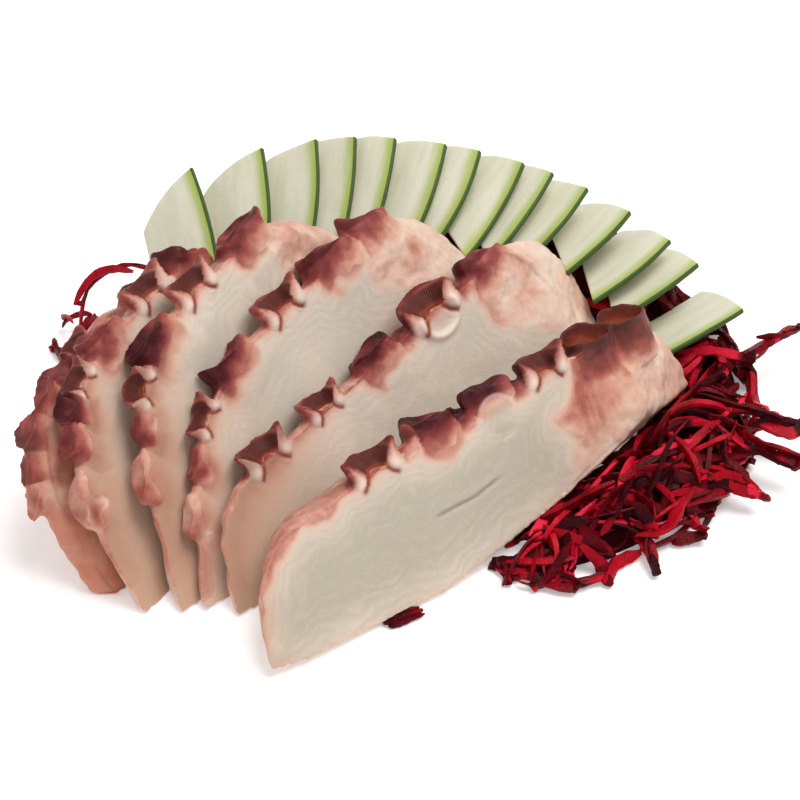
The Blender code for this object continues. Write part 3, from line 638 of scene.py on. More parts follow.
@dataclass(frozen=True)
class BeetFinish:
    """Raw shredded beet: wet crimson shreds with darker and brighter places, from random patches and from each
    shred's shade value, which holds painted shade near the food.
    """

    darkest: str = "2E0107"
    dark: str = "66030F"
    middle: str = "AC091E"
    bright: str = "DC223E"
    roughness: float = 0.34
    patch_size: float = 2.6         # size of the bright and dark places, mm
    fibre_size: float = 0.4         # torn fibres, mm

    def build(self, name: str, gloom: float) -> bpy.types.Material:
        """Return the material.

        Args:
            name: the material's name.
            gloom: how much darker than a fresh shred it is, from 0 to 1; the core's material uses it as painted shade
                for the inside of the heap.
        """
        material, tree, shader = new_material(name)
        place = add_node(tree, "ShaderNodeTexCoord").outputs["Object"]
        shade = add_node(tree, "ShaderNodeAttribute", attribute_name="shade").outputs["Fac"]
        patches = add_node(tree, "ShaderNodeTexNoise", {
            "Vector": place, "Scale": 1000.0 / self.patch_size, "Detail": 3.0})
        fibres = add_node(tree, "ShaderNodeTexNoise", {
            "Vector": place, "Scale": 1000.0 / self.fibre_size, "Detail": 2.0})
        mixed = add_node(tree, "ShaderNodeMath", {
            0: patches.outputs["Fac"], 1: 0.7, 2: shade}, operation="MULTIPLY_ADD")
        lowered = add_node(tree, "ShaderNodeMath", {0: mixed.outputs[0], 1: 0.35 + gloom}, operation="SUBTRACT")
        ramp = add_node(tree, "ShaderNodeValToRGB", {"Fac": lowered.outputs[0]}, stops=(
            (0.0, self.darkest), (0.3, self.dark), (0.65, self.middle), (1.0, self.bright)))
        tree.links.new(ramp.outputs["Color"], shader.inputs["Base Color"])
        bump = add_node(tree, "ShaderNodeBump", {
            "Height": fibres.outputs["Fac"], "Strength": 0.6, "Distance": 0.0003})
        tree.links.new(bump.outputs[0], shader.inputs["Normal"])
        shader.inputs["Roughness"].default_value = self.roughness
        shader.inputs["IOR"].default_value = 1.38
        shader.inputs["Specular IOR Level"].default_value = 0.14 - 0.2 * gloom
        shader.inputs["Subsurface Weight"].default_value = 0.12
        shader.inputs["Subsurface Radius"].default_value = (1.0, 0.15, 0.15)
        shader.inputs["Subsurface Scale"].default_value = 0.0008
        return material


# --- octopus ----------------------------------------------------------------------------
def directions(turn_degrees: float) -> tuple[np.ndarray, np.ndarray, np.ndarray]:
    """Return the along, up and outward directions of a cut face with this heading."""
    turn = math.radians(turn_degrees)
    along = np.array([math.cos(turn), math.sin(turn), 0.0])
    level = np.array([math.sin(turn), -math.cos(turn), 0.0])
    upright = np.array([0.0, 0.0, 1.0])
    up = upright * math.cos(LEAN) - level * math.sin(LEAN)
    out = level * math.cos(LEAN) + upright * math.sin(LEAN)
    return along, up, out


class SliceForm:
    """The form that one slice takes in the part: outline, thickness and place."""

    def __init__(self, sizes: SliceSizes, behind: SliceSizes | None) -> None:
        """Work out the slice's directions.

        Args:
            sizes: the slice's sizes.
            behind: the sizes of the slice that it leans on, or None for the last one.
        """
        self.sizes = sizes
        self.behind = behind
        self.along, self.up, self.out = directions(sizes.turn)
        self.foot = np.array([sizes.foot[0], sizes.foot[1], sizes.raised])
        if behind is not None:
            self.back_out = directions(behind.turn)[2]
            self.back_foot = np.array([behind.foot[0], behind.foot[1], behind.raised])

    def place(self, along: np.ndarray, up: np.ndarray, depth: np.ndarray) -> np.ndarray:
        """Return points at these distances along, up and behind the cut face, one a row."""
        return (self.foot + np.multiply.outer(along, self.along) + np.multiply.outer(up, self.up)
                - np.multiply.outer(depth, self.out))

    def thickness(self, along: np.ndarray, up: np.ndarray) -> np.ndarray:
        """Return how thick the slice is behind points of its cut face."""
        if self.behind is None:
            return np.full(np.shape(along), self.sizes.thickest)
        gap = (self.place(along, up, np.zeros(np.shape(along))) - self.back_foot) @ self.back_out
        return np.minimum(gap / (self.out @ self.back_out) - CLEARANCE, self.sizes.thickest)

    def bottom(self, share: np.ndarray) -> np.ndarray:
        """Return the height of the underside at these shares of the length."""
        size = self.sizes
        left = size.left_lift * np.clip(1.0 - share / 0.12, 0.0, 1.0) ** 2
        right = size.right_lift * np.clip((share - 0.40) / 0.60, 0.0, 1.0) ** 1.25
        return left + right

    def top(self, share: np.ndarray) -> np.ndarray:
        """Return the height of the rim at these shares of the length."""
        size = self.sizes
        height = size.left_height + (size.right_height - size.left_height) * share
        height = height + size.crown * 4.0 * share * (1.0 - share)
        left = np.clip(1.0 - share * size.length / size.left_round, 0.0, 1.0)
        right = np.clip(1.0 - (1.0 - share) * size.length / size.right_round, 0.0, 1.0)
        cap = (1.0 - left ** size.left_power) ** (1.0 / size.left_power)
        cap = cap * (1.0 - right ** size.right_power) ** (1.0 / size.right_power)
        low = self.bottom(share)
        return low + (height - low) * cap

    def at_depth(self, share: np.ndarray, rim: np.ndarray, depth: np.ndarray) -> tuple[np.ndarray, np.ndarray]:
        """Carry outline points back through the slice.

        Args:
            share: shares of the length.
            rim: 1 on the rim and 0 on the underside.
            depth: distances behind the cut face.

        Returns:
            The distances along and up.
        """
        size = self.sizes
        slope = 0.6 + (size.run_back - 0.6) * smooth_step(share, 0.45, 0.95)
        if self.behind is None:
            slope = -0.25 + (size.run_back + 0.25) * smooth_step(share)
        along = size.start + share * size.length + slope * depth
        ground = (math.sin(LEAN) * depth - size.raised) / math.cos(LEAN)
        tuck = math.tan(LEAN) * (1.0 - smooth_step(share, 0.5, 0.85)) - 0.1
        low = np.maximum(self.bottom(share) + tuck * depth, ground)
        high = self.top(share) - 0.22 * share * depth
        return along, low + np.maximum(high - low, 0.0) * rim

    def outline(self, count: int, depth_share: float, swell: float, shrink: float) -> np.ndarray:
        """Return the outline of the slice at a share of its thickness.

        Args:
            count: how many points go round.
            depth_share: share of the thickness behind the cut face.
            swell: how far the skin bulges out there.
            shrink: how far the outline draws in to its middle.

        Returns:
            One point a row, the first and last the same.
        """
        around = np.linspace(0.0, 1.0, count)
        share = 0.5 - 0.5 * np.cos(2.0 * np.pi * around)
        rim = np.where(around < 0.5, 1.0, 0.0)
        along, up = self.at_depth(share, rim, np.zeros(count))
        depth = depth_share * self.thickness(along, up)
        flat = np.stack(self.at_depth(share, rim, depth), axis=1)
        step = np.roll(flat[:-1], -1, axis=0) - np.roll(flat[:-1], 1, axis=0)
        step = np.vstack([step, step[:1]])
        normal = np.stack([-step[:, 1], step[:, 0]], axis=1)
        normal /= np.maximum(np.linalg.norm(normal, axis=1), 1e-6)[:, None]
        normal *= smooth_step(normal[:, 1], -0.4, 0.0)[:, None]
        centre = flat.mean(axis=0)
        moved = centre + (flat + normal * swell - centre) * shrink
        depth = depth_share * self.thickness(moved[:, 0], moved[:, 1])
        spots = self.place(moved[:, 0], moved[:, 1], depth)
        spots[:, 2] = np.maximum(spots[:, 2], self.sizes.raised)
        return spots

    def sucker_seat(self, sucker: Sucker) -> tuple[np.ndarray, np.ndarray, np.ndarray, np.ndarray]:
        """Find where a sucker grows out of the rim.

        Args:
            sucker: the sucker.

        Returns:
            Its base point, its axis, its side direction and its front direction.
        """
        share = 0.5 - 0.5 * np.cos(np.linspace(0.0, np.pi, 401))
        along, up = self.at_depth(share, np.ones(401), np.full(401, sucker.setback))
        nearest = int(np.argmin(np.hypot(along - sucker.along, up - sucker.up)))
        nearest = min(max(nearest, 1), 399)
        run = np.array([along[nearest + 1] - along[nearest - 1], up[nearest + 1] - up[nearest - 1]])
        if sucker.kind is OPEN:
            run = np.array([1.0, 0.05])
        run /= np.linalg.norm(run)
        tilt = math.radians({OPEN: 12.0, WHOLE: -6.0}.get(sucker.kind, 0.0))
        axis = (self.up * run[0] - self.along * run[1]) * math.cos(tilt) + self.out * math.sin(tilt)
        base = self.place(along[nearest], up[nearest], sucker.setback) + axis * sucker.stand
        side = np.cross(axis, self.out)
        side /= np.linalg.norm(side)
        return base, axis, side, np.cross(side, axis)


@dataclass
class OctopusSlice:
    """One slice of the arm, fused out of its flesh and its suckers.

    Attributes:
        number: place in the row, from the front.
        sizes: its sizes.
        behind: the sizes of the slice that it leans on.
        around: points round the outline.
        rings: outlines through the thickness.
        sucker_turns: steps round a sucker.
        fillet_rounds: how long the growth of sucker into flesh is smoothed.
        flow_rounds: how long the foot of a whole sucker is smoothed into the cut face.
        lump: how far the skin is lumpy, mm.
        bulge: how far a whole sucker may stand out of the cut face, mm.
    """

    number: int
    sizes: SliceSizes
    behind: SliceSizes | None
    around: int = 221
    rings: int = 15
    sucker_turns: int = 44
    fillet_rounds: int = 14
    flow_rounds: int = 40
    lump: float = 0.36
    bulge: float = 1.1

    def __post_init__(self) -> None:
        """Work out the form and the seats of the suckers."""
        self.form = SliceForm(self.sizes, self.behind)
        self.seats = [self.form.sucker_seat(sucker) for sucker in self.sizes.suckers]
        self.ragged = Unevenness(11 + self.number, 2.6)

    def flesh(self) -> bmesh.types.BMesh:
        """Loft the flesh through its outlines and close it at both cut faces."""
        if self.behind is None:
            stations, swells = (0.0, 0.3, 0.6, 0.85, 1.0), (0.0, 0.7, 0.4, 0.0, 0.0)
            shrinks = (1.0, 1.0, 0.98, 0.82, 0.5)
        else:
            stations, swells = (0.0, 0.35, 0.75, 1.0), (0.0, 0.5, 0.3, -0.5)
            shrinks = (1.0, 1.0, 1.0, 1.0)
        bm = bmesh.new()
        bmesh.ops.create_grid(bm, x_segments=self.around - 1, y_segments=self.rings - 1, size=0.5)
        outlines = {}
        for ring in range(self.rings):
            share = ring / (self.rings - 1.0)
            swell = float(np.interp(share, stations, swells))
            shrink = float(np.interp(share, stations, shrinks))
            outlines[ring] = self.form.outline(self.around, share, swell, shrink)
        for vertex in bm.verts:
            ring = round((vertex.co.y + 0.5) * (self.rings - 1))
            step = round((vertex.co.x + 0.5) * (self.around - 1))
            vertex.co = outlines[ring][step]
        bmesh.ops.remove_doubles(bm, verts=bm.verts, dist=0.001)
        open_edges = [edge for edge in bm.edges if edge.is_boundary]
        bmesh.ops.holes_fill(bm, edges=open_edges, sides=0)
        bmesh.ops.recalc_face_normals(bm, faces=bm.faces)
        return bm

    def cup(self, sucker: Sucker, seat: tuple, seed: int) -> bmesh.types.BMesh:
        """Spin one sucker, crumple its lips and trim it at the cut faces.

        Args:
            sucker: its sizes.
            seat: its base, axis, side and front directions.
            seed: which random crumple it gets.
        """
        source = random.Random(seed)
        bm = bmesh.new()
        section = SECTIONS[sucker.kind]
        knots = [bm.verts.new((reach, 0.0, height)) for reach, height in section]
        lines = [bm.edges.new(pair) for pair in zip(knots, knots[1:])]
        bmesh.ops.subdivide_edges(bm, edges=lines, cuts=1)
        bmesh.ops.spin(bm, geom=bm.verts[:] + bm.edges[:], axis=(0.0, 0.0, 1.0), angle=2.0 * math.pi,
                       steps=self.sucker_turns, use_merge=True)
        bmesh.ops.remove_doubles(bm, verts=bm.verts, dist=0.002)
        bmesh.ops.recalc_face_normals(bm, faces=bm.faces)
        phases = [source.uniform(0.0, 2.0 * math.pi) for _ in range(5)]
        crumple = {WHOLE: 0.085, DOME: 0.09, LOBE: 0.06, HOOK: 0.13, OPEN: 0.06}.get(sucker.kind, 0.05)
        horns = 0.30 if sucker.kind is CUT else 0.0
        lean = {WHOLE: 0.24, HOOK: 0.30, LOBE: 0.10}.get(sucker.kind, 0.03)
        leaning = source.choice((0.5, math.pi, math.pi, math.pi)) + source.uniform(-0.5, 0.5)
        wide, deep = {WHOLE: (1.14, 0.92), LOBE: (1.15, 0.90), HOOK: (1.1, 0.9)}.get(sucker.kind, (1.0, 1.0))
        base, axis, side, front = (Vector(part) for part in seat)
        for vertex in bm.verts:
            reach = math.hypot(vertex.co.x, vertex.co.y)
            angle = math.atan2(vertex.co.y, vertex.co.x)
            lift = float(smooth_step(vertex.co.z, -0.2, 0.6))
            widen = crumple * (math.sin(2.0 * angle + phases[0]) + 0.5 * math.sin(3.0 * angle + phases[1]))
            reach *= 1.0 + widen * lift
            rise = crumple * (math.sin(2.0 * angle + phases[2]) + 0.5 * math.sin(5.0 * angle + phases[3]))
            rise += horns * (abs(math.cos(angle)) ** 6 - 0.3) * (1.3 if math.cos(angle) > 0.0 else 0.7)
            rise += lean * math.cos(angle - leaning)
            height = vertex.co.z + rise * lift * min(1.0, reach)
            spot = side * (math.cos(angle) * reach * wide) + front * (math.sin(angle) * reach * deep)
            spot += axis * height
            vertex.co = base + spot * sucker.radius
        stands = {WHOLE: 0.3, LOBE: 0.35, HOOK: 0.4, OPEN: 1.0}
        cut_at = stands[sucker.kind] * self.bulge if sucker.kind in stands else -0.02
        self.trim(bm, Vector(self.form.foot) + Vector(self.form.out) * cut_at, Vector(self.form.out))
        if self.behind is not None:
            back = Vector(self.form.back_foot + self.form.back_out * (CLEARANCE + 0.1))
            self.trim(bm, back, -Vector(self.form.back_out))
        self.trim(bm, Vector((0.0, 0.0, 0.4)), Vector((0.0, 0.0, -1.0)))
        return bm

    @staticmethod
    def trim(bm: bmesh.types.BMesh, point: Vector, direction: Vector) -> None:
        """Remove what lies beyond a plane and close the cut.

        Args:
            bm: the mesh.
            point: a point of the plane.
            direction: the side that is removed.
        """
        geometry = bm.verts[:] + bm.edges[:] + bm.faces[:]
        bmesh.ops.bisect_plane(bm, geom=geometry, dist=0.0001, plane_co=point, plane_no=direction, clear_outer=True)
        open_edges = [edge for edge in bm.edges if edge.is_boundary]
        if open_edges:
            bmesh.ops.triangle_fill(bm, edges=open_edges, use_beauty=True)

    def fused(self) -> bpy.types.Mesh:
        """Fuse flesh and suckers into one closed mesh of even faces."""
        whole = self.flesh()
        for index, (sucker, seat) in enumerate(zip(self.sizes.suckers, self.seats)):
            cup = self.cup(sucker, seat, 100 * self.number + index)
            if cup.faces:
                spare = bpy.data.meshes.new("cup")
                cup.to_mesh(spare)
                whole.from_mesh(spare)
                bpy.data.meshes.remove(spare)
            cup.free()
        rough = bpy.data.meshes.new("rough")
        whole.to_mesh(rough)
        whole.free()
        holder = new_object("rough", rough)
        fuse = holder.modifiers.new("fuse", "REMESH")
        fuse.mode = "VOXEL"
        fuse.voxel_size = VOXEL
        fuse.adaptivity = 0.0
        return evaluated_mesh(holder)

    def local(self, places: np.ndarray) -> np.ndarray:
        """Return (along, up, depth) of each place."""
        away = places - self.form.foot
        return np.stack([away @ self.form.along, away @ self.form.up, -(away @ self.form.out)], axis=1)

    def sucker_field(self, places: np.ndarray) -> dict[str, np.ndarray]:
        """Say of every place which sucker it belongs to and where on it it lies.

        Args:
            places: one place a row.

        Returns:
            Arrays: score (distance from the sucker's middle), near (how much it belongs to a
            sucker), whole (how much it is the skin of an uncut one), reach and height in
            sucker radii, turn (its direction round the axis), dark and index.
        """
        count = len(places)
        best = np.full(count, 9.0)
        field = {"reach": np.full(count, 9.0), "height": np.full(count, -9.0), "dark": np.zeros(count),
                 "index": np.full(count, -1), "turn": np.zeros((count, 3))}
        field["turn"][:, 0] = 1.0
        uncut = np.zeros(count)
        for index, (sucker, seat) in enumerate(zip(self.sizes.suckers, self.seats)):
            base, axis, side, front = seat
            away = (places - base) / sucker.radius
            height = away @ axis
            across, ahead = away @ side, away @ front
            reach = np.hypot(across, ahead)
            score = np.hypot(reach, 0.8 * np.minimum(height + 0.1, 0.0))
            mine = score < best
            best = np.where(mine, score, best)
            field["reach"][mine] = reach[mine]
            field["height"][mine] = height[mine]
            field["dark"][mine] = sucker.dark
            field["index"][mine] = index
            field["turn"][mine] = np.stack([across, ahead, height], axis=1)[mine]
            uncut[mine] = 1.0 if sucker.kind in (WHOLE, OPEN, LOBE, HOOK) else 0.0
        field["score"] = best
        wide = np.where(uncut > 0.5, 1.75, 1.35)
        field["near"] = 1.0 - smooth_step((best - 0.95) / (wide - 0.95))
        field["whole"] = uncut * (1.0 - smooth_step(best, 1.12, 1.42))
        field["below"] = uncut * (1.0 - smooth_step(best, 1.6, 1.9))
        return field

    def relief(self, flat: np.ndarray) -> tuple[np.ndarray, np.ndarray, np.ndarray]:
        """Work out the small forms on the cut face: muscle under the cut suckers, and creases.

        Args:
            flat: (along, up, depth) of every vertex.

        Returns:
            How far each vertex stands out of the face, how much crevice colour and painted shade it gets, and how
            pearly white it is.
        """
        height = np.zeros(len(flat))
        stain_and_shade = np.zeros(len(flat))
        pearl = np.zeros(len(flat))
        for index, (sucker, seat) in enumerate(zip(self.sizes.suckers, self.seats)):
            if sucker.kind in (WHOLE, OPEN, HOOK) or sucker.radius < 3.0:
                continue
            source = random.Random(900 * self.number + index)
            base, axis, side, _front = seat
            middle = self.local(base[None, :])[0]
            tangent = np.array([side @ self.form.along, side @ self.form.up])
            rise = np.array([axis @ self.form.along, axis @ self.form.up])
            away = (flat[:, :2] - middle[:2]) / sucker.radius
            across, above = away @ tangent, away @ rise
            if sucker.kind is LOBE:
                if sucker.radius > 3.4:
                    # Painted shade: the hollow of a big lobe is darkened towards the crevice colour.
                    hollow = np.exp(-((across + 0.50) / 0.80) ** 2 - ((above - 0.05) / 0.42) ** 2)
                    height -= 1.5 * hollow
                    stain_and_shade = np.maximum(stain_and_shade, (0.9 if sucker.radius > 4.0 else 0.35) * hollow ** 1.5)
                continue
            if sucker.kind is DOME:
                spread = np.sqrt(((across - 0.05) / 0.76) ** 2 + ((above + 0.46) / 0.70) ** 2)
                height = np.maximum(height, 0.35 * np.clip(1.0 - spread ** 2, 0.0, 1.0) ** 0.7)
                patchy = 0.5 + 0.5 * self.ragged.at(flat * np.array([1.0, 1.0, 0.3]))
                for ring in (1.0, 1.32):
                    pearl = np.maximum(pearl, 0.34 * patchy * np.exp(-((spread - ring) / 0.10) ** 2))
                # Painted shade: a darker band across the upper part of the dome, under the rim.
                dusk = np.exp(-((above + 0.25) / 0.24) ** 2) * (1.0 - smooth_step(spread, 0.75, 0.95))
                stain_and_shade = np.maximum(stain_and_shade, 0.30 * dusk)
                continue
            # Two leaf-shaped wall ends with a thin crevice that arches over a pale dome.
            pinch = source.uniform(0.92, 1.08)
            for end in (-1.0, 1.0):
                centre = end * (0.70 + 0.26 * (above - 0.1)) + source.uniform(-0.04, 0.04)
                wide = 0.42 - 0.24 * np.clip(above - 0.1, 0.0, 0.8)
                spread = ((across - centre) / wide) ** 2 + ((above - 0.10) / source.uniform(0.58, 0.70)) ** 2
                height = np.maximum(height, 0.50 * np.clip(1.0 - spread, 0.0, 1.0) ** 0.7)
                spot = np.exp(-((across - end * 0.70) / 0.27) ** 2 - ((above + 0.10) / 0.30) ** 2)
                pearl = np.maximum(pearl, 0.75 * spot)
                foot = [(end * place_x * pinch, place_y) for place_x, place_y in (
                    (0.36, 0.02), (0.41, -0.08), (0.50, -0.24), (0.68, -0.40))]
                # The crevice: a groove with the cup's red-brown lining, and painted shade in the narrow gap.
                gap = self.gap_to_line(across, above, foot)
                crack = np.minimum(np.exp(-(gap / 0.07) ** 2) + 0.35 * np.exp(-(gap / 0.16) ** 2), 1.0)
                height -= 0.6 * crack
                stain_and_shade = np.maximum(stain_and_shade, 0.95 * crack)
            if sucker.kind is RING:
                away = np.hypot(across - 0.03, 1.05 * (above + 0.10))
                low = 1.0 - smooth_step(above, 0.0, 0.3)
                band = np.exp(-((away - 0.70) / 0.13) ** 2) * low
                height += 0.6 * band
                pearl = np.maximum(pearl, 0.85 * band)
                stain_and_shade = np.maximum(stain_and_shade, 0.26 * np.exp(-(away / 0.44) ** 2) * low)
        for start_a, start_u, end_a, end_u, deep, wide in self.sizes.creases:
            start, run = np.array([start_a, start_u]), np.array([end_a - start_a, end_u - start_u])
            length = float(np.hypot(*run))
            run /= length
            away = flat[:, :2] - start
            down = away @ run
            bow = 0.7 * np.sin(np.pi * np.clip(down / length, 0.0, 1.0)) + 0.08 * np.sin(down * 0.9)
            aside = away @ np.array([-run[1], run[0]]) + bow
            ends = smooth_step(down, 0.0, 3.0) * (1.0 - smooth_step(down, length - 3.0, length))
            height -= deep * ends * np.exp(-(aside / wide) ** 2)
            height += 0.25 * deep * ends * np.exp(-((aside - 2.4 * wide) / (1.5 * wide)) ** 2)
            # Painted shade along the crease.
            stain_and_shade = np.maximum(stain_and_shade, 0.16 * ends * np.exp(-(aside / wide) ** 2))
        return height, stain_and_shade, pearl

    @staticmethod
    def gap_to_line(across: np.ndarray, above: np.ndarray, knots: list[tuple[float, float]]) -> np.ndarray:
        """Return the distance from each place to a bent line through the knots."""
        nearest = np.full(len(across), 9.0)
        for (start_x, start_y), (end_x, end_y) in zip(knots, knots[1:]):
            run_x, run_y = end_x - start_x, end_y - start_y
            part = ((across - start_x) * run_x + (above - start_y) * run_y) / (run_x ** 2 + run_y ** 2)
            part = np.clip(part, 0.0, 1.0)
            gap = np.hypot(across - start_x - part * run_x, above - start_y - part * run_y)
            nearest = np.minimum(nearest, gap)
        return nearest

    def skin_on_face(self, flat: np.ndarray) -> np.ndarray:
        """Return how much each place lies beyond the end of the cut, where natural skin shows."""
        size = self.sizes
        along = flat[:, 0] + 0.8 * self.ragged.at(flat * np.array([1.0, 1.0, 0.3]))
        up = flat[:, 1] + 0.8 * self.ragged.at(flat * np.array([1.0, 1.0, 0.3]) + 50.0)
        skin = np.zeros(len(flat))
        if size.skin_right:
            ups, alongs = zip(*size.skin_right)
            skin = np.maximum(skin, smooth_step(along - np.interp(up, ups, alongs), -1.5, 3.0))
        if size.skin_left:
            ups, alongs = zip(*size.skin_left)
            skin = np.maximum(skin, smooth_step(np.interp(up, ups, alongs) - along, -1.0, 1.6))
        if size.skin_above:
            alongs, ups = zip(*size.skin_above)
            skin = np.maximum(skin, smooth_step(up - np.interp(along, alongs, ups), -0.8, 1.4))
        return skin

    def softened(self, mesh: bpy.types.Mesh) -> None:
        """Smooth where the suckers grow into the flesh, then the whole surface a little."""
        places = vertex_places(mesh)
        field = self.sucker_field(places)
        depth = self.local(places)[:, 2]
        bm = bmesh.new()
        bm.from_mesh(mesh)
        bm.verts.ensure_lookup_table()
        low = (depth > 0.55) & (field["height"] < 0.22)
        low |= (field["whole"] > 0.02) & (field["height"] < 0.30) & (field["height"] > -1.6) & (depth < 5.0)
        low &= places[:, 2] > self.sizes.raised + 1.0
        low_verts = [bm.verts[index] for index in np.nonzero(low)[0]]
        for _ in range(self.fillet_rounds):
            bmesh.ops.smooth_vert(bm, verts=low_verts, factor=0.5, use_axis_x=True, use_axis_y=True, use_axis_z=True)
        flow = (field["whole"] + field["below"] > 0.02) & (field["height"] < -0.05) & (depth < 1.6)
        flow &= places[:, 2] > self.sizes.raised + 1.0
        wrapped = (self.skin_on_face(self.local(places)) > 0.5) & (depth < 2.2) & (field["score"] > 1.25)
        wrapped &= places[:, 2] > self.sizes.raised + 1.0
        flow |= wrapped
        flow_verts = [bm.verts[index] for index in np.nonzero(flow)[0]]
        for _ in range(self.flow_rounds):
            bmesh.ops.smooth_vert(bm, verts=flow_verts, factor=0.5, use_axis_x=True, use_axis_y=True, use_axis_z=True)
        for _ in range(2):
            bmesh.ops.smooth_vert(bm, verts=bm.verts, factor=0.5, use_axis_x=True, use_axis_y=True, use_axis_z=True)
        bm.to_mesh(mesh)
        bm.free()
        mesh.update()

    def build(self) -> bpy.types.Object:
        """Build, soften, shape and colour the slice."""
        mesh = self.fused()
        self.softened(mesh)
        places = vertex_places(mesh)
        normals = vertex_normals(mesh)
        flat = self.local(places)
        field = self.sucker_field(places)
        thick = self.form.thickness(flat[:, 0], flat[:, 1])
        front = 1.0 - smooth_step(flat[:, 2], 0.18, 0.5)
        front *= smooth_step(normals @ self.form.out, 0.3, 0.75)
        back = np.zeros(len(places))
        if self.behind is not None:
            facing = -(normals @ self.form.back_out)
            back = (1.0 - smooth_step(thick - flat[:, 2], 0.3, 0.7)) * smooth_step(facing, 0.3, 0.75)
        under = smooth_step(-normals[:, 2], 0.8, 0.95)
        slant = field["height"] - 0.30 * field["turn"][:, 0] + 0.30 * self.ragged.at(places + 20.0)
        skin_face = np.maximum(self.skin_on_face(flat), field["whole"] * smooth_step(slant, -0.80, 0.1)) * front
        roof = self.of_kind(field, DOME)
        domed = np.hypot(field["turn"][:, 0] / 0.80, (field["height"] + 0.46) / 0.74)
        skin_face = np.maximum(skin_face, roof * smooth_step(domed, 0.98, 1.10) * front
                               * smooth_step(field["height"], -0.12, 0.05))
        open_ends = self.of_kind(field, CUT, RING) * (1.0 - smooth_step(field["score"], 1.08, 1.3))
        skin_face = skin_face * (1.0 - open_ends)
        blush = field["dark"] * field["whole"] * smooth_step(slant, -1.35, -0.15)
        cut = np.maximum(front * (1.0 - skin_face), back)
        natural = (cut < 0.4) & (under < 0.5)
        edge, nearest = self.nearest_skin(places, natural)
        tone, cup, stain_and_shade, peach = self.pigment(places, normals, flat, field, skin_face)
        lips_dark = smooth_step(tone, 0.35, 0.6)
        shown = tone[nearest]
        # Near the skin its colour bleeds into the cut; at the left end a broad darker tint is added, partly the
        # skin's colour and partly painted shade between slices.
        bled = shown * np.exp(-edge / 0.5) + self.bleed_and_left_shade(flat) * (0.25 + shown) * np.exp(-edge / 2.6)
        bled = np.minimum(bled, np.maximum(shown, 0.1)) + 0.13 * (self.bleed_and_left_shade(flat) - 0.30)
        bled = np.maximum(bled, 0.42 * blush)
        tone = np.where(natural, tone, bled)
        # Painted shade: the left end of the cut, deep between slices, is tinted towards the darker tan through the
        # peach attribute.
        painted_left_shade = self.sizes.left_bleed_and_shade * (1.0 - smooth_step(self.share(flat), 0.02, 0.45))
        peach = np.where(natural, peach, np.maximum(peach[nearest] * np.exp(-edge / 4.0), 0.8 * painted_left_shade))
        cup = np.where(natural, cup, 0.0)
        relief, crack, pearl = self.relief(flat)
        open_cut = front * (1.0 - skin_face)
        shallow = np.maximum(open_cut, front * (field["whole"] > 0.5))
        relief, crack, pearl = relief * shallow, crack * shallow, pearl * open_cut
        stain_and_shade = np.maximum(np.where(natural, stain_and_shade, stain_and_shade[nearest] * np.exp(-edge / 0.30)), crack)
        peach = np.maximum(peach, 0.5 * blush * smooth_step(field["turn"][:, 0], -0.2, 0.8) * (1.0 - lips_dark))
        # Lumpy skin, a wavy cut, and the small forms of the cut suckers.
        coarse, fine = Unevenness(7 * self.number, 3.1), Unevenness(7 * self.number + 1, 1.2)
        slow = Unevenness(7 * self.number + 2, 11.0)
        lips = smooth_step(field["height"], 0.35, 0.6) * field["near"]
        soft = smooth_step(1.0 - cut, 0.3, 0.8) * (1.0 - 0.75 * lips) * (1.0 - under)
        rough = 0.45 + 0.55 * np.maximum(field["near"], smooth_step(flat[:, 1] / self.rim_height(flat), 0.6, 0.9))
        lump = self.lump * (coarse.at(places) * 0.7 + fine.at(places) * 0.32) * soft * rough
        lump += np.minimum(slow.at(places) * 0.35 - 0.15, 0.12) * front
        frayed = self.sizes.ripe * smooth_step(skin_face, 0.3, 0.7) * (1.0 - smooth_step(field["score"], 2.0, 3.4))
        strands = Unevenness(90 + self.number, 1.5).at(places @ self.fray_stretch())
        lump += 0.55 * frayed * smooth_step(field["score"], 1.25, 1.7) * np.abs(strands)
        lump += relief
        places = places + normals * lump[:, None]
        fall = self.fall_back(flat) * (1.0 - smooth_step(flat[:, 2], 0.5, 5.5))
        places -= np.multiply.outer(fall, self.form.out)
        low = 1.0 - smooth_step(places[:, 2], 0.0, 9.0)
        foot = self.sizes.spread * low * (1.0 - smooth_step(self.share(flat), 0.0, 0.14))
        places -= np.multiply.outer(foot, self.form.along)
        places[:, 2] = np.maximum(places[:, 2], self.sizes.raised)
        knee = CAD_BOX[1][2] / MM - 0.3
        over = np.maximum(places[:, 2] - knee, 0.0)
        places[:, 2] += 1.1 * np.tanh(over / 1.1) - over
        places += np.array(SHIFT)
        set_places(mesh, places * MM)
        for name, values in (("tone", tone), ("cut", cut), ("stain_and_shade", stain_and_shade), ("peach", peach), ("cup", cup),
                             ("pearl", pearl)):
            add_attribute(mesh, name, np.clip(values, 0.0, 1.0))
        add_attribute(mesh, "edge", edge)
        add_attribute(mesh, "glass_and_shade", np.full(len(edge), self.sizes.glass_and_shade))
        add_attribute(mesh, "cup_turn", field["turn"])
        name = f"cooked_slice_{self.number}"
        mesh.name = name
        return new_object(name, mesh)

    def of_kind(self, field: dict[str, np.ndarray], *kinds: SuckerKind) -> np.ndarray:
        """Tell of every place whether the sucker it belongs to is of one of these kinds."""
        chosen = np.array([sucker.kind in kinds for sucker in self.sizes.suckers] + [False])
        return chosen[field["index"]]

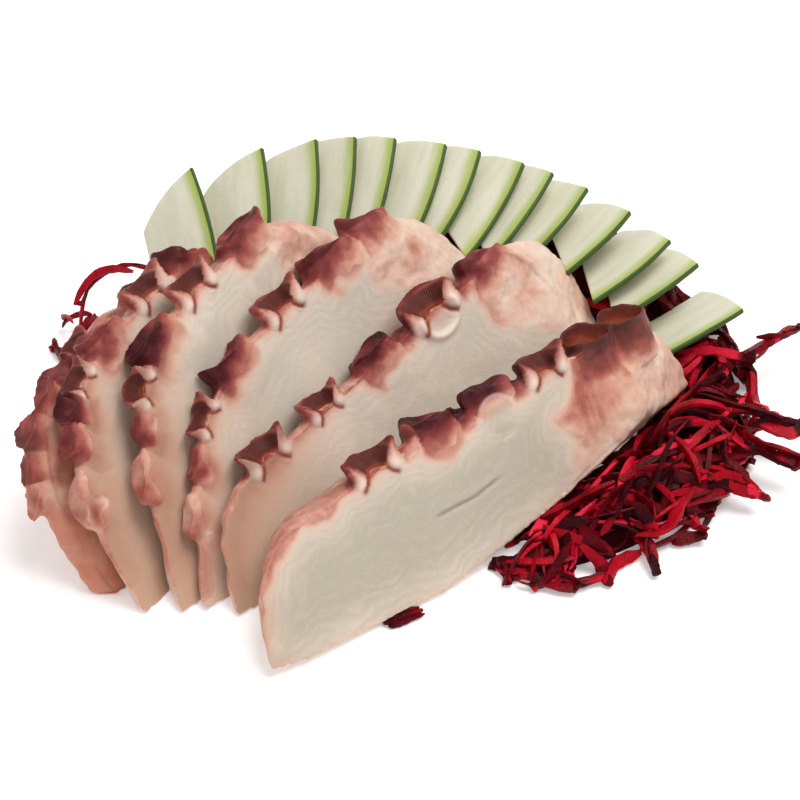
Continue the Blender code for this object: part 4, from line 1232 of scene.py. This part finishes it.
    @staticmethod
    def nearest_skin(places: np.ndarray, natural: np.ndarray) -> tuple[np.ndarray, np.ndarray]:
        """Find the nearest natural skin of every vertex.

        Args:
            places: places of the vertices.
            natural: which of them are skin.

        Returns:
            The distance in millimetres and the index of that vertex.
        """
        chosen = np.nonzero(natural)[0]
        tree = KDTree(len(chosen))
        for order, index in enumerate(chosen):
            tree.insert(places[index], order)
        tree.balance()
        edge = np.zeros(len(places))
        nearest = np.arange(len(places))
        for index in np.nonzero(~natural)[0]:
            _spot, order, distance = tree.find(places[index])
            edge[index] = distance
            nearest[index] = chosen[order]
        return edge, nearest

    def fray_stretch(self) -> np.ndarray:
        """Return the turning that draws unevenness out into strands that run down from the rim."""
        return np.stack([self.form.along, 0.25 * self.form.up, 0.5 * self.form.out], axis=1)

    def rim_height(self, flat: np.ndarray) -> np.ndarray:
        """Return the height of the rim above each place of the cut face."""
        return np.maximum(self.form.top(self.share(flat)), 1.0)

    def share(self, flat: np.ndarray) -> np.ndarray:
        """Return the share of the slice's length at each place, from 0 at its left end to 1."""
        return np.clip((flat[:, 0] - self.sizes.start) / self.sizes.length, 0.0, 1.0)

    def bleed_and_left_shade(self, flat: np.ndarray) -> np.ndarray:
        """Return how strongly the skin's colour bleeds into the cut, most at the left end, where it is also painted
        shade between slices.
        """
        return 0.30 + self.sizes.left_bleed_and_shade * (1.0 - smooth_step(self.share(flat), 0.05, 0.40))

    def fall_back(self, flat: np.ndarray) -> np.ndarray:
        """Return how far the natural skin that faces the front curves back from the cut plane."""
        size = self.sizes
        fall = np.zeros(len(flat))
        if size.skin_right:
            ups, alongs = zip(*size.skin_right)
            beyond = flat[:, 0] - np.interp(flat[:, 1], ups, alongs)
            fall = np.maximum(fall, 1.6 * smooth_step(beyond, 0.0, 22.0))
        if size.skin_left:
            ups, alongs = zip(*size.skin_left)
            beyond = np.interp(flat[:, 1], ups, alongs) - flat[:, 0]
            fall = np.maximum(fall, 2.4 * smooth_step(beyond, 0.0, 14.0))
        if size.skin_above:
            alongs, ups = zip(*size.skin_above)
            beyond = flat[:, 1] - np.interp(flat[:, 0], alongs, ups)
            fall = np.maximum(fall, 1.2 * smooth_step(beyond, 0.0, 5.0))
        return fall

    def pigment(
        self, places: np.ndarray, normals: np.ndarray, flat: np.ndarray, field: dict[str, np.ndarray],
        skin_face: np.ndarray,
    ) -> tuple[np.ndarray, np.ndarray, np.ndarray, np.ndarray]:
        """Colour the natural skin.

        Args:
            places: places of the vertices.
            normals: their normals.
            flat: their distances along, up and behind the cut face.
            field: where they lie on the suckers.
            skin_face: how much they lie on skin that faces the front.

        Returns:
            The tone, how much each lies in a cup, how much crevice colour and painted shade it gets, and how
            peach-coloured it is.
        """
        size = self.sizes
        share = self.share(flat)
        level = flat[:, 1] / self.rim_height(flat)
        high = smooth_step(level, 0.45, 0.98)
        body = 0.04 + 0.28 * high * (1.0 - 0.75 * smooth_step(share, 0.72, 0.95))
        body += 0.05 * Unevenness(41 + self.number, 5.0).at(places) + 0.14 * np.maximum(size.peach - 0.6, 0.0)
        on_face = 0.07 + 0.16 * high * (1.0 - smooth_step(field["score"], 1.3, 2.6))
        torn = 1.0 - smooth_step(field["score"], 1.4, 3.2)
        on_face += 0.12 * torn * np.maximum(Unevenness(51 + self.number, 2.6).at(places), 0.0)
        paling = 1.0 - smooth_step(share, 0.86, 0.99)
        ripe = size.ripe * paling * smooth_step(share, 0.76, 0.86)
        on_face += ripe * (0.13 * smooth_step(level, 0.30, 0.7) + 0.20 * torn)
        body = body + (on_face - body) * smooth_step(skin_face, 0.3, 0.7) * smooth_step(share, 0.3, 0.5)
        plain = self.of_kind(field, OPEN)
        tilted = field["height"] - np.where(plain, -0.45, 0.34 * field["turn"][:, 0])
        rise = smooth_step(tilted, -1.05, 0.66)
        worn = 0.11 * Unevenness(61 + self.number, 2.4).at(places)
        on_cup = field["dark"] * (0.10 + 0.76 * rise) + worn * np.sqrt(rise)
        lip = smooth_step(field["height"] - 0.12 * field["turn"][:, 0], 0.42, 0.66) * field["dark"]
        lip = np.where(plain, smooth_step(field["height"], 0.30, 0.52), lip)
        on_cup = np.maximum(on_cup, lip * 0.98)
        tone = body + (on_cup - body) * field["near"]
        hollow = self.of_kind(field, CUT, OPEN, RING)
        outward = np.sum(normals * (places - self.axis_points(places, field)), axis=1)
        inside = hollow & (outward < 0.0) & (field["reach"] < 1.0) & (field["height"] > -0.6)
        cup = np.where(inside, smooth_step(field["reach"], 0.18, 0.36) * smooth_step(field["height"], 0.0, 0.16), 0.0)
        cup *= 1.0 - smooth_step(field["height"], 0.56, 0.68)
        # Painted shade: the bottom of each cup is darkened towards the crevice colour.
        stain_and_shade = np.where(inside, 1.0 - smooth_step(field["height"], 0.02, 0.24), 0.0)
        dome = inside & ~plain & (field["height"] < 0.2)
        floor = dome * (1.0 - smooth_step(field["reach"], 0.20, 0.31))
        stain_and_shade = stain_and_shade * (1.0 - floor)
        tone = tone + (0.13 - tone) * floor
        # Open cups are red-brown inside and darker deeper down: their own colour, and painted shade.
        stain_and_shade = np.where(inside & plain, 0.75 - 0.6 * smooth_step(field["height"], 0.30, 0.70), stain_and_shade)
        cup = np.where(plain, 0.6 * cup, cup)
        left = 1.0 - smooth_step(share, 0.0, 0.16 if self.behind is not None else 0.34)
        low = 1.0 - smooth_step(level, 0.35, 1.0)
        right = smooth_step(share, 0.62, 0.80)
        peach = size.peach * np.maximum.reduce([left, 0.25 * low, right * (0.32 + 0.25 * size.ripe)])
        peach *= 1.0 - 0.7 * field["near"]
        peach *= 0.75 + 0.35 * Unevenness(81 + self.number, 4.0).at(places)
        return tone, cup, stain_and_shade, peach

    def axis_points(self, places: np.ndarray, field: dict[str, np.ndarray]) -> np.ndarray:
        """Return the point on the axis of its sucker that is nearest to each place."""
        points = places.copy()
        for index, (sucker, seat) in enumerate(zip(self.sizes.suckers, self.seats)):
            mine = field["index"] == index
            points[mine] = seat[0] + np.multiply.outer(field["height"][mine] * sucker.radius, seat[1])
        return points


# --- cucumber ---------------------------------------------------------------------------
@dataclass
class CucumberFan:
    """Fourteen thin slices fanned out behind the octopus, each with its rind to the right."""

    centre: tuple[float, float, float] = (-6.6, -14.4, -22.5)
    radius: float = 87.6
    slope: float = 35.0
    bearings: tuple[float, ...] = (
        -20.8, -12.1, -5.5, -0.8, 3.9, 9.9, 14.1, 19.5, 23.3, 27.8, 33.6, 39.3, 43.5, 51.0)
    headings: tuple[float, ...] = (
        -16.5, -3.4, 4.6, 9.6, 14.6, 19.8, 24.4, 29.6, 33.6, 38.0, 42.8, 47.1, 50.6, 55.0)
    pitch: tuple[float, float] = (33.0, 6.0)
    tilt: float = 28.0
    width: float = 12.5
    thick: float = 1.8
    lengths: tuple[float, ...] = (
        24.0, 25.0, 25.0, 25.0, 24.5, 24.0, 20.5, 23.0, 22.5, 21.0, 18.5, 20.5, 21.0, 22.0)
    foot_slant: float = 9.0
    bow: float = 1.1
    tip_slants: tuple[float, ...] = (7.5, 6.0, 4.5, 1.5, 1.0, 1.0, 0.5, 0.0, 0.0, 0.0, 0.0, 0.0, -0.5, -1.0)
    tip_bulge: float = 0.6
    corner: float = 0.9             # how far the inner corner of a tip is rounded off
    across: int = 22
    lengthwise: int = 40
    edge_round: float = 0.28
    rind_taper: float = 0.55        # how much thinner a slice is at its rind

    def frame_of(self, index: int) -> tuple[Vector, Vector, Vector, Vector]:
        """Return the tip, the rising, the lengthwise and the upward direction of a slice."""
        bearing, heading = math.radians(self.bearings[index]), math.radians(self.headings[index])
        share = float(smooth_step(index / (len(self.bearings) - 1.0)))
        rise = math.radians(self.pitch[0] + (self.pitch[1] - self.pitch[0]) * share)
        slope, tilt = math.radians(self.slope), math.radians(self.tilt)
        slope_out = Vector((0.0, math.cos(slope), math.sin(slope)))
        tip = Vector(self.centre) + Vector((self.radius * math.sin(bearing), 0.0, 0.0))
        tip += slope_out * (self.radius * math.cos(bearing))
        level = math.cos(rise)
        long_way = Vector((math.sin(heading) * level, math.cos(heading) * level, math.sin(rise)))
        flat_up = Vector((0.0, -math.sin(rise), math.cos(rise)))
        over = long_way.cross(flat_up).normalized()
        flat_up = over.cross(long_way).normalized()
        lifted = over * math.cos(tilt) + flat_up * math.sin(tilt)
        normal = flat_up * math.cos(tilt) - over * math.sin(tilt)
        return tip, lifted, long_way, normal

    def build(self, index: int) -> bpy.types.Object:
        """Build one slice from a grid, give it its thickness and round its edges."""
        tip, lifted, long_way, normal = self.frame_of(index)
        length, slant = self.lengths[index], self.tip_slants[index]
        bm = bmesh.new()
        bmesh.ops.create_grid(bm, x_segments=self.across, y_segments=self.lengthwise, size=0.5)
        for vertex in bm.verts:
            over, back = vertex.co.x + 0.5, 0.5 - vertex.co.y
            tip_at = -slant * (1.0 - over) + self.tip_bulge * math.sin(math.pi * over)
            tip_at -= self.corner * (1.0 - over) ** 7 + 0.15 * over ** 9
            foot_at = -length + self.foot_slant * (1.0 - over)
            along = tip_at + (foot_at - tip_at) * back
            vertex.co = (-self.width * (1.0 - over) + self.bow * math.sin(math.pi * back) * over, along, 0.0)
        faces = bm.faces[:]
        bmesh.ops.solidify(bm, geom=faces, thickness=self.thick)
        bmesh.ops.recalc_face_normals(bm, faces=bm.faces)
        bm.normal_update()
        rim = [edge for edge in bm.edges if len(edge.link_faces) == 2 and edge.calc_face_angle(0.0) > 0.9]
        bmesh.ops.bevel(bm, geom=rim, offset=self.edge_round, offset_type="OFFSET", segments=2, profile=0.5,
                        affect="EDGES", material=-1, clamp_overlap=True)
        mesh = bpy.data.meshes.new("cucumber")
        bm.to_mesh(mesh)
        bm.free()
        flat = vertex_places(mesh)
        flat[:, 2] -= (flat[:, 2].max() + flat[:, 2].min()) / 2.0
        flat[:, 2] *= 1.0 - self.rind_taper * smooth_step(flat[:, 0], -6.0, 0.5)
        wave = Unevenness(300 + index, 5.0).at(flat * np.array([1.0, 0.5, 0.2]))
        grain = Unevenness(330 + index, 1.1).at(flat * np.array([1.0, 0.35, 1.0]))
        away = self.bow * np.sin(np.pi * np.clip(-flat[:, 1] / length, 0.0, 1.0)) - flat[:, 0]
        flat[:, 2] += 0.22 * wave + 0.04 * grain * np.sign(flat[:, 2])
        spots = np.array(tip) + flat @ np.array([lifted, long_way, normal])
        add_attribute(mesh, "rind", away)
        add_attribute(mesh, "lie", flat + np.array([17.0 * index, 0.0, 0.0]))
        spots = spots + np.array(SHIFT)
        spots[:, 2] = np.maximum(spots[:, 2], 0.0)
        set_places(mesh, spots * MM)
        name = f"cucumber_cut_{index + 1:02d}"
        mesh.name = name
        return new_object(name, mesh)


# --- shredded beet ----------------------------------------------------------------------
@dataclass
class ShreddedBeet:
    """A heap of shreds that lie on and in the bank of the part, over a dark core that is painted shade for the inside
    of the heap.
    """

    bank: tuple[tuple[float, float, float, float], ...] = (
        (16.5, -26.0, 2.4, 1.4), (24.0, -21.5, 5.0, 4.0), (34.0, -14.5, 8.5, 7.0), (43.0, -5.0, 10.5, 9.0),
        (49.0, 6.0, 10.5, 10.0), (52.5, 19.0, 9.0, 8.5), (47.0, 34.0, 8.5, 9.0), (35.0, 43.0, 9.5, 14.0),
        (18.0, 48.0, 9.5, 16.0), (-4.0, 51.0, 9.0, 18.0), (-22.0, 48.0, 7.5, 16.0), (-32.0, 43.0, 3.5, 8.0))
    loose: tuple[tuple[tuple[float, ...], ...], ...] = (
        ((54.0, 17.0, 4.0, 2.3), (61.0, 20.0, 8.0), (70.4, 26.6, 8.6)),
        ((52.0, 6.0, 4.0, 2.0), (59.0, 5.5, 8.0), (67.8, 3.2, 5.6)),
        ((49.0, 1.0, 3.5, 2.2), (58.5, -2.5, 6.5), (66.6, -5.6, 5.2)),
        ((46.0, -4.0, 3.0, 2.6), (53.0, -7.5, 5.2), (60.2, -11.0, 3.4)),
        ((43.0, -9.0, 3.0, 2.4), (46.0, -13.5, 3.6), (49.4, -17.4, 2.0)),
        ((37.0, -16.0, 2.0, 2.2), (40.0, -20.5, 2.4), (41.6, -25.0, 1.3)),
        ((17.5, -25.6, 1.3, 1.7), (22.5, -27.6, 1.3), (28.0, -29.0, 1.3), (33.8, -26.8, 1.4)))
    clump_loose: tuple[tuple[tuple[float, ...], ...], ...] = (
        ((-58.0, 31.0, 2.4, 0.8), (-56.5, 37.0, 8.5), (-50.0, 39.0, 12.6), (-43.0, 36.5, 13.0)),
        ((-57.0, 28.0, 2.0, 1.3), (-61.0, 21.0, 2.0), (-63.2, 13.5, 1.4)))
    front_bits: tuple[tuple[tuple[float, ...], ...], ...] = (
        ((-2.6, -37.0, 0.5, 1.6), (0.4, -35.5, 0.6), (3.6, -33.8, 0.5)),
        ((-2.9, -36.3, 0.5, 1.4), (0.0, -34.8, 0.5), (3.0, -33.3, 0.5)),
        ((-1.8, -37.5, 0.5, 1.4), (1.0, -36.0, 0.5), (3.9, -34.7, 0.5)))
    bank_shreds: int = 860
    clump_shreds: int = 12
    shred_points: int = 13
    core_shrink: float = 1.6        # how far the core lies under the surface of the heap
    middle: tuple[float, float] = (2.0, 6.0)   # the shreds point away from here, mm

    def __post_init__(self) -> None:
        """Make search trees of the food that the shreds must keep clear of."""
        joined = bmesh.new()
        for name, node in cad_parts.items():
            if name.startswith(("octopus", "cucumber")):
                joined.from_mesh(node.data)
        self.food = BVHTree.FromBMesh(joined)
        joined.free()
        self.profile = self.shred_profile()

    @staticmethod
    def shred_profile() -> bpy.types.Object:
        """Return the uneven flat section that every shred has, one unit wide."""
        data = bpy.data.curves.new("shred_section", "CURVE")
        data.dimensions = "2D"
        corners = ((0.50, -0.20), (0.50, 0.19), (0.18, 0.27), (-0.24, 0.23), (-0.50, 0.25), (-0.50, -0.17),
                   (0.05, -0.26))
        line = data.splines.new("POLY")
        line.points.add(len(corners) - 1)
        for point, corner in zip(line.points, corners):
            point.co = (corner[0], corner[1], 0.0, 1.0)
        line.use_cyclic_u = True
        return new_object("shred_section", data)

    @staticmethod
    def tree_of(node: str) -> BVHTree:
        """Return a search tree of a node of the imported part."""
        bm = bmesh.new()
        bm.from_mesh(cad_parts[node].data)
        bmesh.ops.remove_doubles(bm, verts=bm.verts, dist=0.00001)
        tree = BVHTree.FromBMesh(bm)
        bm.free()
        return tree

    def clear_of_food(self, spot: Vector, room: float) -> bool:
        """Tell whether a place (mm) is at least this far from the octopus and the cucumber."""
        near, normal, _face, distance = self.food.find_nearest(spot * MM)
        if near is None:
            return True
        return distance > room * MM and (spot * MM - near).dot(normal) > 0.0

    def walk(self, tree: BVHTree, start: Vector, source: random.Random, width: float) -> list[Vector]:
        """Lay one shred over the surface of a heap.

        Args:
            tree: the heap's surface.
            start: where the shred begins, in millimetres.
            source: the random numbers.
            width: how wide the shred is.

        Returns:
            The points it passes, or too few points where there is no room for it.
        """
        outward = math.atan2(start.y - self.middle[1], start.x - self.middle[0])
        heading = outward + source.choice((0.0, 0.0, math.pi, 1.6, -1.6)) + source.uniform(-0.7, 0.7)
        curl = source.uniform(-0.08, 0.08)
        stride = source.uniform(1.8, 3.4)
        lift = source.uniform(-0.9, 1.2)
        arch = source.uniform(-0.2, 1.2)
        steps = source.randint(4, 8)
        spot = start.copy()
        points = []
        for step in range(steps):
            near, normal, _face, _distance = tree.find_nearest(spot * MM)
            ground = near / MM
            rise = lift + arch * math.sin(math.pi * step / steps)
            placed = None
            for drop in (0.0, 0.6, 1.2, 1.9, 2.6):
                trial = ground + normal * (rise - drop)
                trial.z = max(trial.z, width * 0.42)
                if self.clear_of_food(trial, width * 0.5 + 0.12):
                    placed = trial
                    break
            if placed is None:
                break
            points.append(placed)
            heading += curl + source.uniform(-0.07, 0.07)
            run = Vector((math.cos(heading), math.sin(heading), 0.0))
            run = (run - normal * run.dot(normal)).normalized()
            spot = placed + run * stride
        for _ in range(2):
            for index in range(1, len(points) - 1):
                points[index] = points[index] * 0.5 + (points[index - 1] + points[index + 1]) * 0.25
        return points

    def shreds(self, name: str, paths: list[tuple[list[Vector], float]]) -> bpy.types.Object:
        """Sweep the shred section along every path and join the shreds into one mesh.

        Args:
            name: the piece's name.
            paths: the points and the width of each shred.
        """
        source = random.Random(5)
        data = bpy.data.curves.new(name, "CURVE")
        data.dimensions = "3D"
        data.bevel_mode = "OBJECT"
        data.bevel_object = self.profile
        data.use_fill_caps = True
        data.twist_mode = "MINIMUM"
        shades = []
        for points, width in paths:
            count = self.shred_points
            line = data.splines.new("POLY")
            line.points.add(count - 1)
            twist, turn = source.uniform(-0.12, 0.12), source.uniform(0.0, math.pi)
            for step, (point, spot) in enumerate(zip(line.points, curve_through(points, count))):
                share = step / (count - 1.0)
                taper = min(1.0, 0.40 + 4.5 * share, 0.40 + 4.5 * (1.0 - share))
                point.co = (spot.x, spot.y, spot.z, 1.0)
                point.radius = width * taper * source.uniform(0.80, 1.14)
                point.tilt = turn + twist * step
            middle = points[len(points) // 2]
            near = self.food.find_nearest(middle * MM)[3] / MM
            # Shreds close to the octopus and cucumber are darker: painted shade where the food overhangs them.
            # Shreds further right are brighter.
            fresh = 0.50 * float(smooth_step(middle.x, 38.0, 52.0)) - 0.25 * float(smooth_step(-near, -7.0, -1.0))
            shades.append(source.uniform(0.0, 0.65) + fresh)
        mesh = evaluated_mesh(new_object(name, data))
        each = len(mesh.vertices) // max(len(paths), 1)
        LOG.info("%s: %d shreds of %d vertices", name, len(paths), each)
        owner = np.minimum(np.arange(len(mesh.vertices)) // each, len(paths) - 1)
        add_attribute(mesh, "shade", np.array(shades)[owner])
        bm = bmesh.new()
        bm.from_mesh(mesh)
        bmesh.ops.recalc_face_normals(bm, faces=bm.faces)
        bm.to_mesh(mesh)
        bm.free()
        places = vertex_places(mesh)
        places[:, 2] = np.maximum(places[:, 2], 0.0)
        set_places(mesh, places * MM)
        mesh.set_sharp_from_angle(angle=math.radians(38.0))
        mesh.name = name
        return new_object(name, mesh)

    def paths_on(self, node: str, count: int, loose: tuple, seed: int) -> list[tuple[list[Vector], float]]:
        """Lay shreds at random on one heap, and the loose ones where they stand out.

        Args:
            node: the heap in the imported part.
            count: how many shreds to try.
            loose: paths of the shreds that stand out, in millimetres.
            seed: which random heap it is.

        Returns:
            The points and width of every shred.
        """
        source = random.Random(seed)
        tree = self.tree_of(node)
        bm = bmesh.new()
        bm.from_mesh(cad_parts[node].data)
        bmesh.ops.triangulate(bm, faces=bm.faces)
        sides = [face for face in bm.faces if face.normal.z > -0.5]
        areas = [face.calc_area() for face in sides]
        paths = [([Vector(point[:3]) + SHIFT for point in points], points[0][3]) for points in loose]
        made = 0
        for _attempt in range(count * 12):
            if made == count:
                break
            corners = [vertex.co for vertex in source.choices(sides, areas)[0].verts]
            first, second = sorted((source.random(), source.random()))
            hit = corners[0] * first + corners[1] * (second - first) + corners[2] * (1.0 - second)
            width = source.choice((0.8, 1.0, 1.2, 1.4, 1.6, 2.1))
            points = self.walk(tree, hit / MM, source, width)
            if len(points) >= 4:
                paths.append((points, width))
                made += 1
        bm.free()
        return paths

    def core(self) -> bpy.types.Object:
        """Build the dark core of the bank, sunk under its surface, as painted shade between the shreds."""
        tree = self.tree_of("beet_bank")
        uneven = Unevenness(19, 3.4)
        count, arch = 90, 16
        stations = curve_through([Vector((x, y, width)) for x, y, width, _height in self.bank], count)
        heights = curve_through([Vector((height, 0.0, 0.0)) for *_rest, height in self.bank], count)
        bm = bmesh.new()
        bmesh.ops.create_grid(bm, x_segments=count - 1, y_segments=arch, size=0.5)
        for vertex in bm.verts:
            index = min(round((vertex.co.x + 0.5) * (count - 1)), count - 1)
            angle = math.pi * (vertex.co.y + 0.5)
            station = stations[index]
            run = stations[min(index + 1, count - 1)] - stations[max(index - 1, 0)]
            side = Vector((run.y, -run.x, 0.0)).normalized()
            spot = Vector((station.x, station.y, 0.0)) + side * (math.cos(angle) * station.z * 0.76) + SHIFT
            level = math.sin(angle) ** 0.7 * heights[index].x
            hit = tree.ray_cast(Vector((spot.x, spot.y, 60.0)) * MM, Vector((0.0, 0.0, -1.0)))[0]
            limit = hit.z / MM if hit is not None else 0.4
            rough = 0.7 * float(uneven.at(np.array([list(spot)]))[0])
            spot.z = max(min(level, limit) - self.core_shrink + min(rough, 0.5), 0.15)
            vertex.co = spot
        bmesh.ops.remove_doubles(bm, verts=bm.verts, dist=0.001)
        rim = [edge for edge in bm.edges if edge.is_boundary]
        made = bmesh.ops.extrude_edge_only(bm, edges=rim)["geom"]
        for vertex in made:
            if isinstance(vertex, bmesh.types.BMVert):
                vertex.co.z = 0.0
        bmesh.ops.holes_fill(bm, edges=[edge for edge in bm.edges if edge.is_boundary], sides=0)
        bmesh.ops.recalc_face_normals(bm, faces=bm.faces)
        for vertex in bm.verts:
            vertex.co *= MM
        mesh = bpy.data.meshes.new("beet_core")
        bm.to_mesh(mesh)
        bm.free()
        add_attribute(mesh, "shade", np.full(len(mesh.vertices), 0.1))
        return new_object("beet_core", mesh)

    def remove_profile(self) -> None:
        """Remove the section that the shreds were swept with."""
        bpy.data.objects.remove(self.profile)


# --- studio -----------------------------------------------------------------------------
@dataclass
class Studio:
    """Pale floor, soft light and a camera that looks down at the food from the front."""

    target: tuple[float, float, float] = (-3.49, -6.66, 15.0)
    distance: float = 370.0
    elevation: float = 42.0
    lens: float = 100.0
    floor: str = "FAFAFA"
    floor_size: float = 3.0
    floor_glow: float = 0.22        # keeps the floor white right up to the food
    key_power: float = 7.5
    fill_power: float = 1.2
    sky: float = 0.55

    def camera(self) -> None:
        """Place the camera."""
        data = bpy.data.cameras.new("camera")
        data.lens = self.lens
        data.sensor_width = 36.0
        data.clip_start, data.clip_end = 0.01, 20.0
        made = new_object("camera", data)
        rise = math.radians(self.elevation)
        back = Vector((0.0, -math.cos(rise), math.sin(rise)))
        made.location = (Vector(self.target) + back * self.distance) * MM
        made.rotation_euler = back.to_track_quat("Z", "Y").to_euler()
        bpy.context.scene.camera = made

    def lamp(self, name: str, place: tuple[float, float, float], size: float, power: float, tint: str) -> None:
        """Hang one soft rectangular light that faces the food.

        Args:
            name: its name.
            place: where it hangs, in metres.
            size: its side, in metres.
            power: its power in watts.
            tint: its colour.
        """
        data = bpy.data.lights.new(name, "AREA")
        data.shape = "SQUARE"
        data.size = size
        data.energy = power
        data.color = linear(tint)[:3]
        made = new_object(name, data)
        made.location = place
        made.rotation_euler = Vector(place).to_track_quat("Z", "Y").to_euler()

    def build(self) -> None:
        """Set the floor, the lights, the sky and the camera."""
        bm = bmesh.new()
        bmesh.ops.create_grid(bm, x_segments=1, y_segments=1, size=self.floor_size / 2.0)
        mesh = bpy.data.meshes.new("floor")
        bm.to_mesh(mesh)
        bm.free()
        floor = new_object("floor", mesh)
        material, _tree, shader = new_material("pale_floor")
        shader.inputs["Base Color"].default_value = linear(self.floor)
        shader.inputs["Roughness"].default_value = 0.8
        shader.inputs["Emission Color"].default_value = linear("FFFFFF")
        shader.inputs["Emission Strength"].default_value = self.floor_glow
        mesh.materials.append(material)
        self.lamp("key", (0.30, 0.05, 0.88), 0.60, self.key_power, "FFFDFA")
        self.lamp("fill", (-0.4, -0.8, 0.5), 0.6, self.fill_power, "FAFCFF")
        world = bpy.data.worlds.new("studio_sky")
        world.use_nodes = True
        sky = world.node_tree.nodes["Background"]
        sky.inputs["Color"].default_value = linear("FFFFFF")
        sky.inputs["Strength"].default_value = self.sky
        bpy.context.scene.world = world
        bpy.context.scene.view_settings.view_transform = "Standard"
        self.camera()


def main() -> None:
    """Build every piece of the food in order, then the studio."""
    logging.basicConfig(level=logging.INFO, format="%(name)s %(message)s")
    flesh = OctopusFinish().build()
    for index, sizes in enumerate(ARM_SLICES):
        behind = ARM_SLICES[index + 1] if index + 1 < len(ARM_SLICES) else None
        piece = OctopusSlice(index + 1, sizes, behind).build()
        dress(piece, flesh, "cooked_octopus", f"octopus_slice_{index + 1}")
    fan = CucumberFan()
    green = CucumberFinish().build()
    for index in range(len(fan.bearings)):
        dress(fan.build(index), green, "cucumber", f"cucumber_slice_{index + 1:02d}")
    beet = ShreddedBeet()
    fresh = BeetFinish().build("raw_beet_shreds", 0.0)
    # The core's material is darker than the shreds: painted shade for the inside of the heap.
    deep = BeetFinish().build("raw_beet_core_painted_shade", 0.35)
    dress(beet.core(), deep, "shredded_beet")
    paths = beet.paths_on("beet_bank", beet.bank_shreds, beet.loose, 21)
    dress(beet.shreds("beet_shreds", paths), fresh, "shredded_beet", "beet_bank")
    paths = beet.paths_on("beet_clump", beet.clump_shreds, beet.clump_loose, 22)
    dress(beet.shreds("beet_clump_shreds", paths), fresh, "shredded_beet", "beet_clump")
    paths = beet.paths_on("beet_front_bit", 0, beet.front_bits, 23)
    dress(beet.shreds("beet_front_shreds", paths), fresh, "shredded_beet", "beet_front_bit")
    beet.remove_profile()
    Studio().build()


if __name__ == "__main__":
    main()
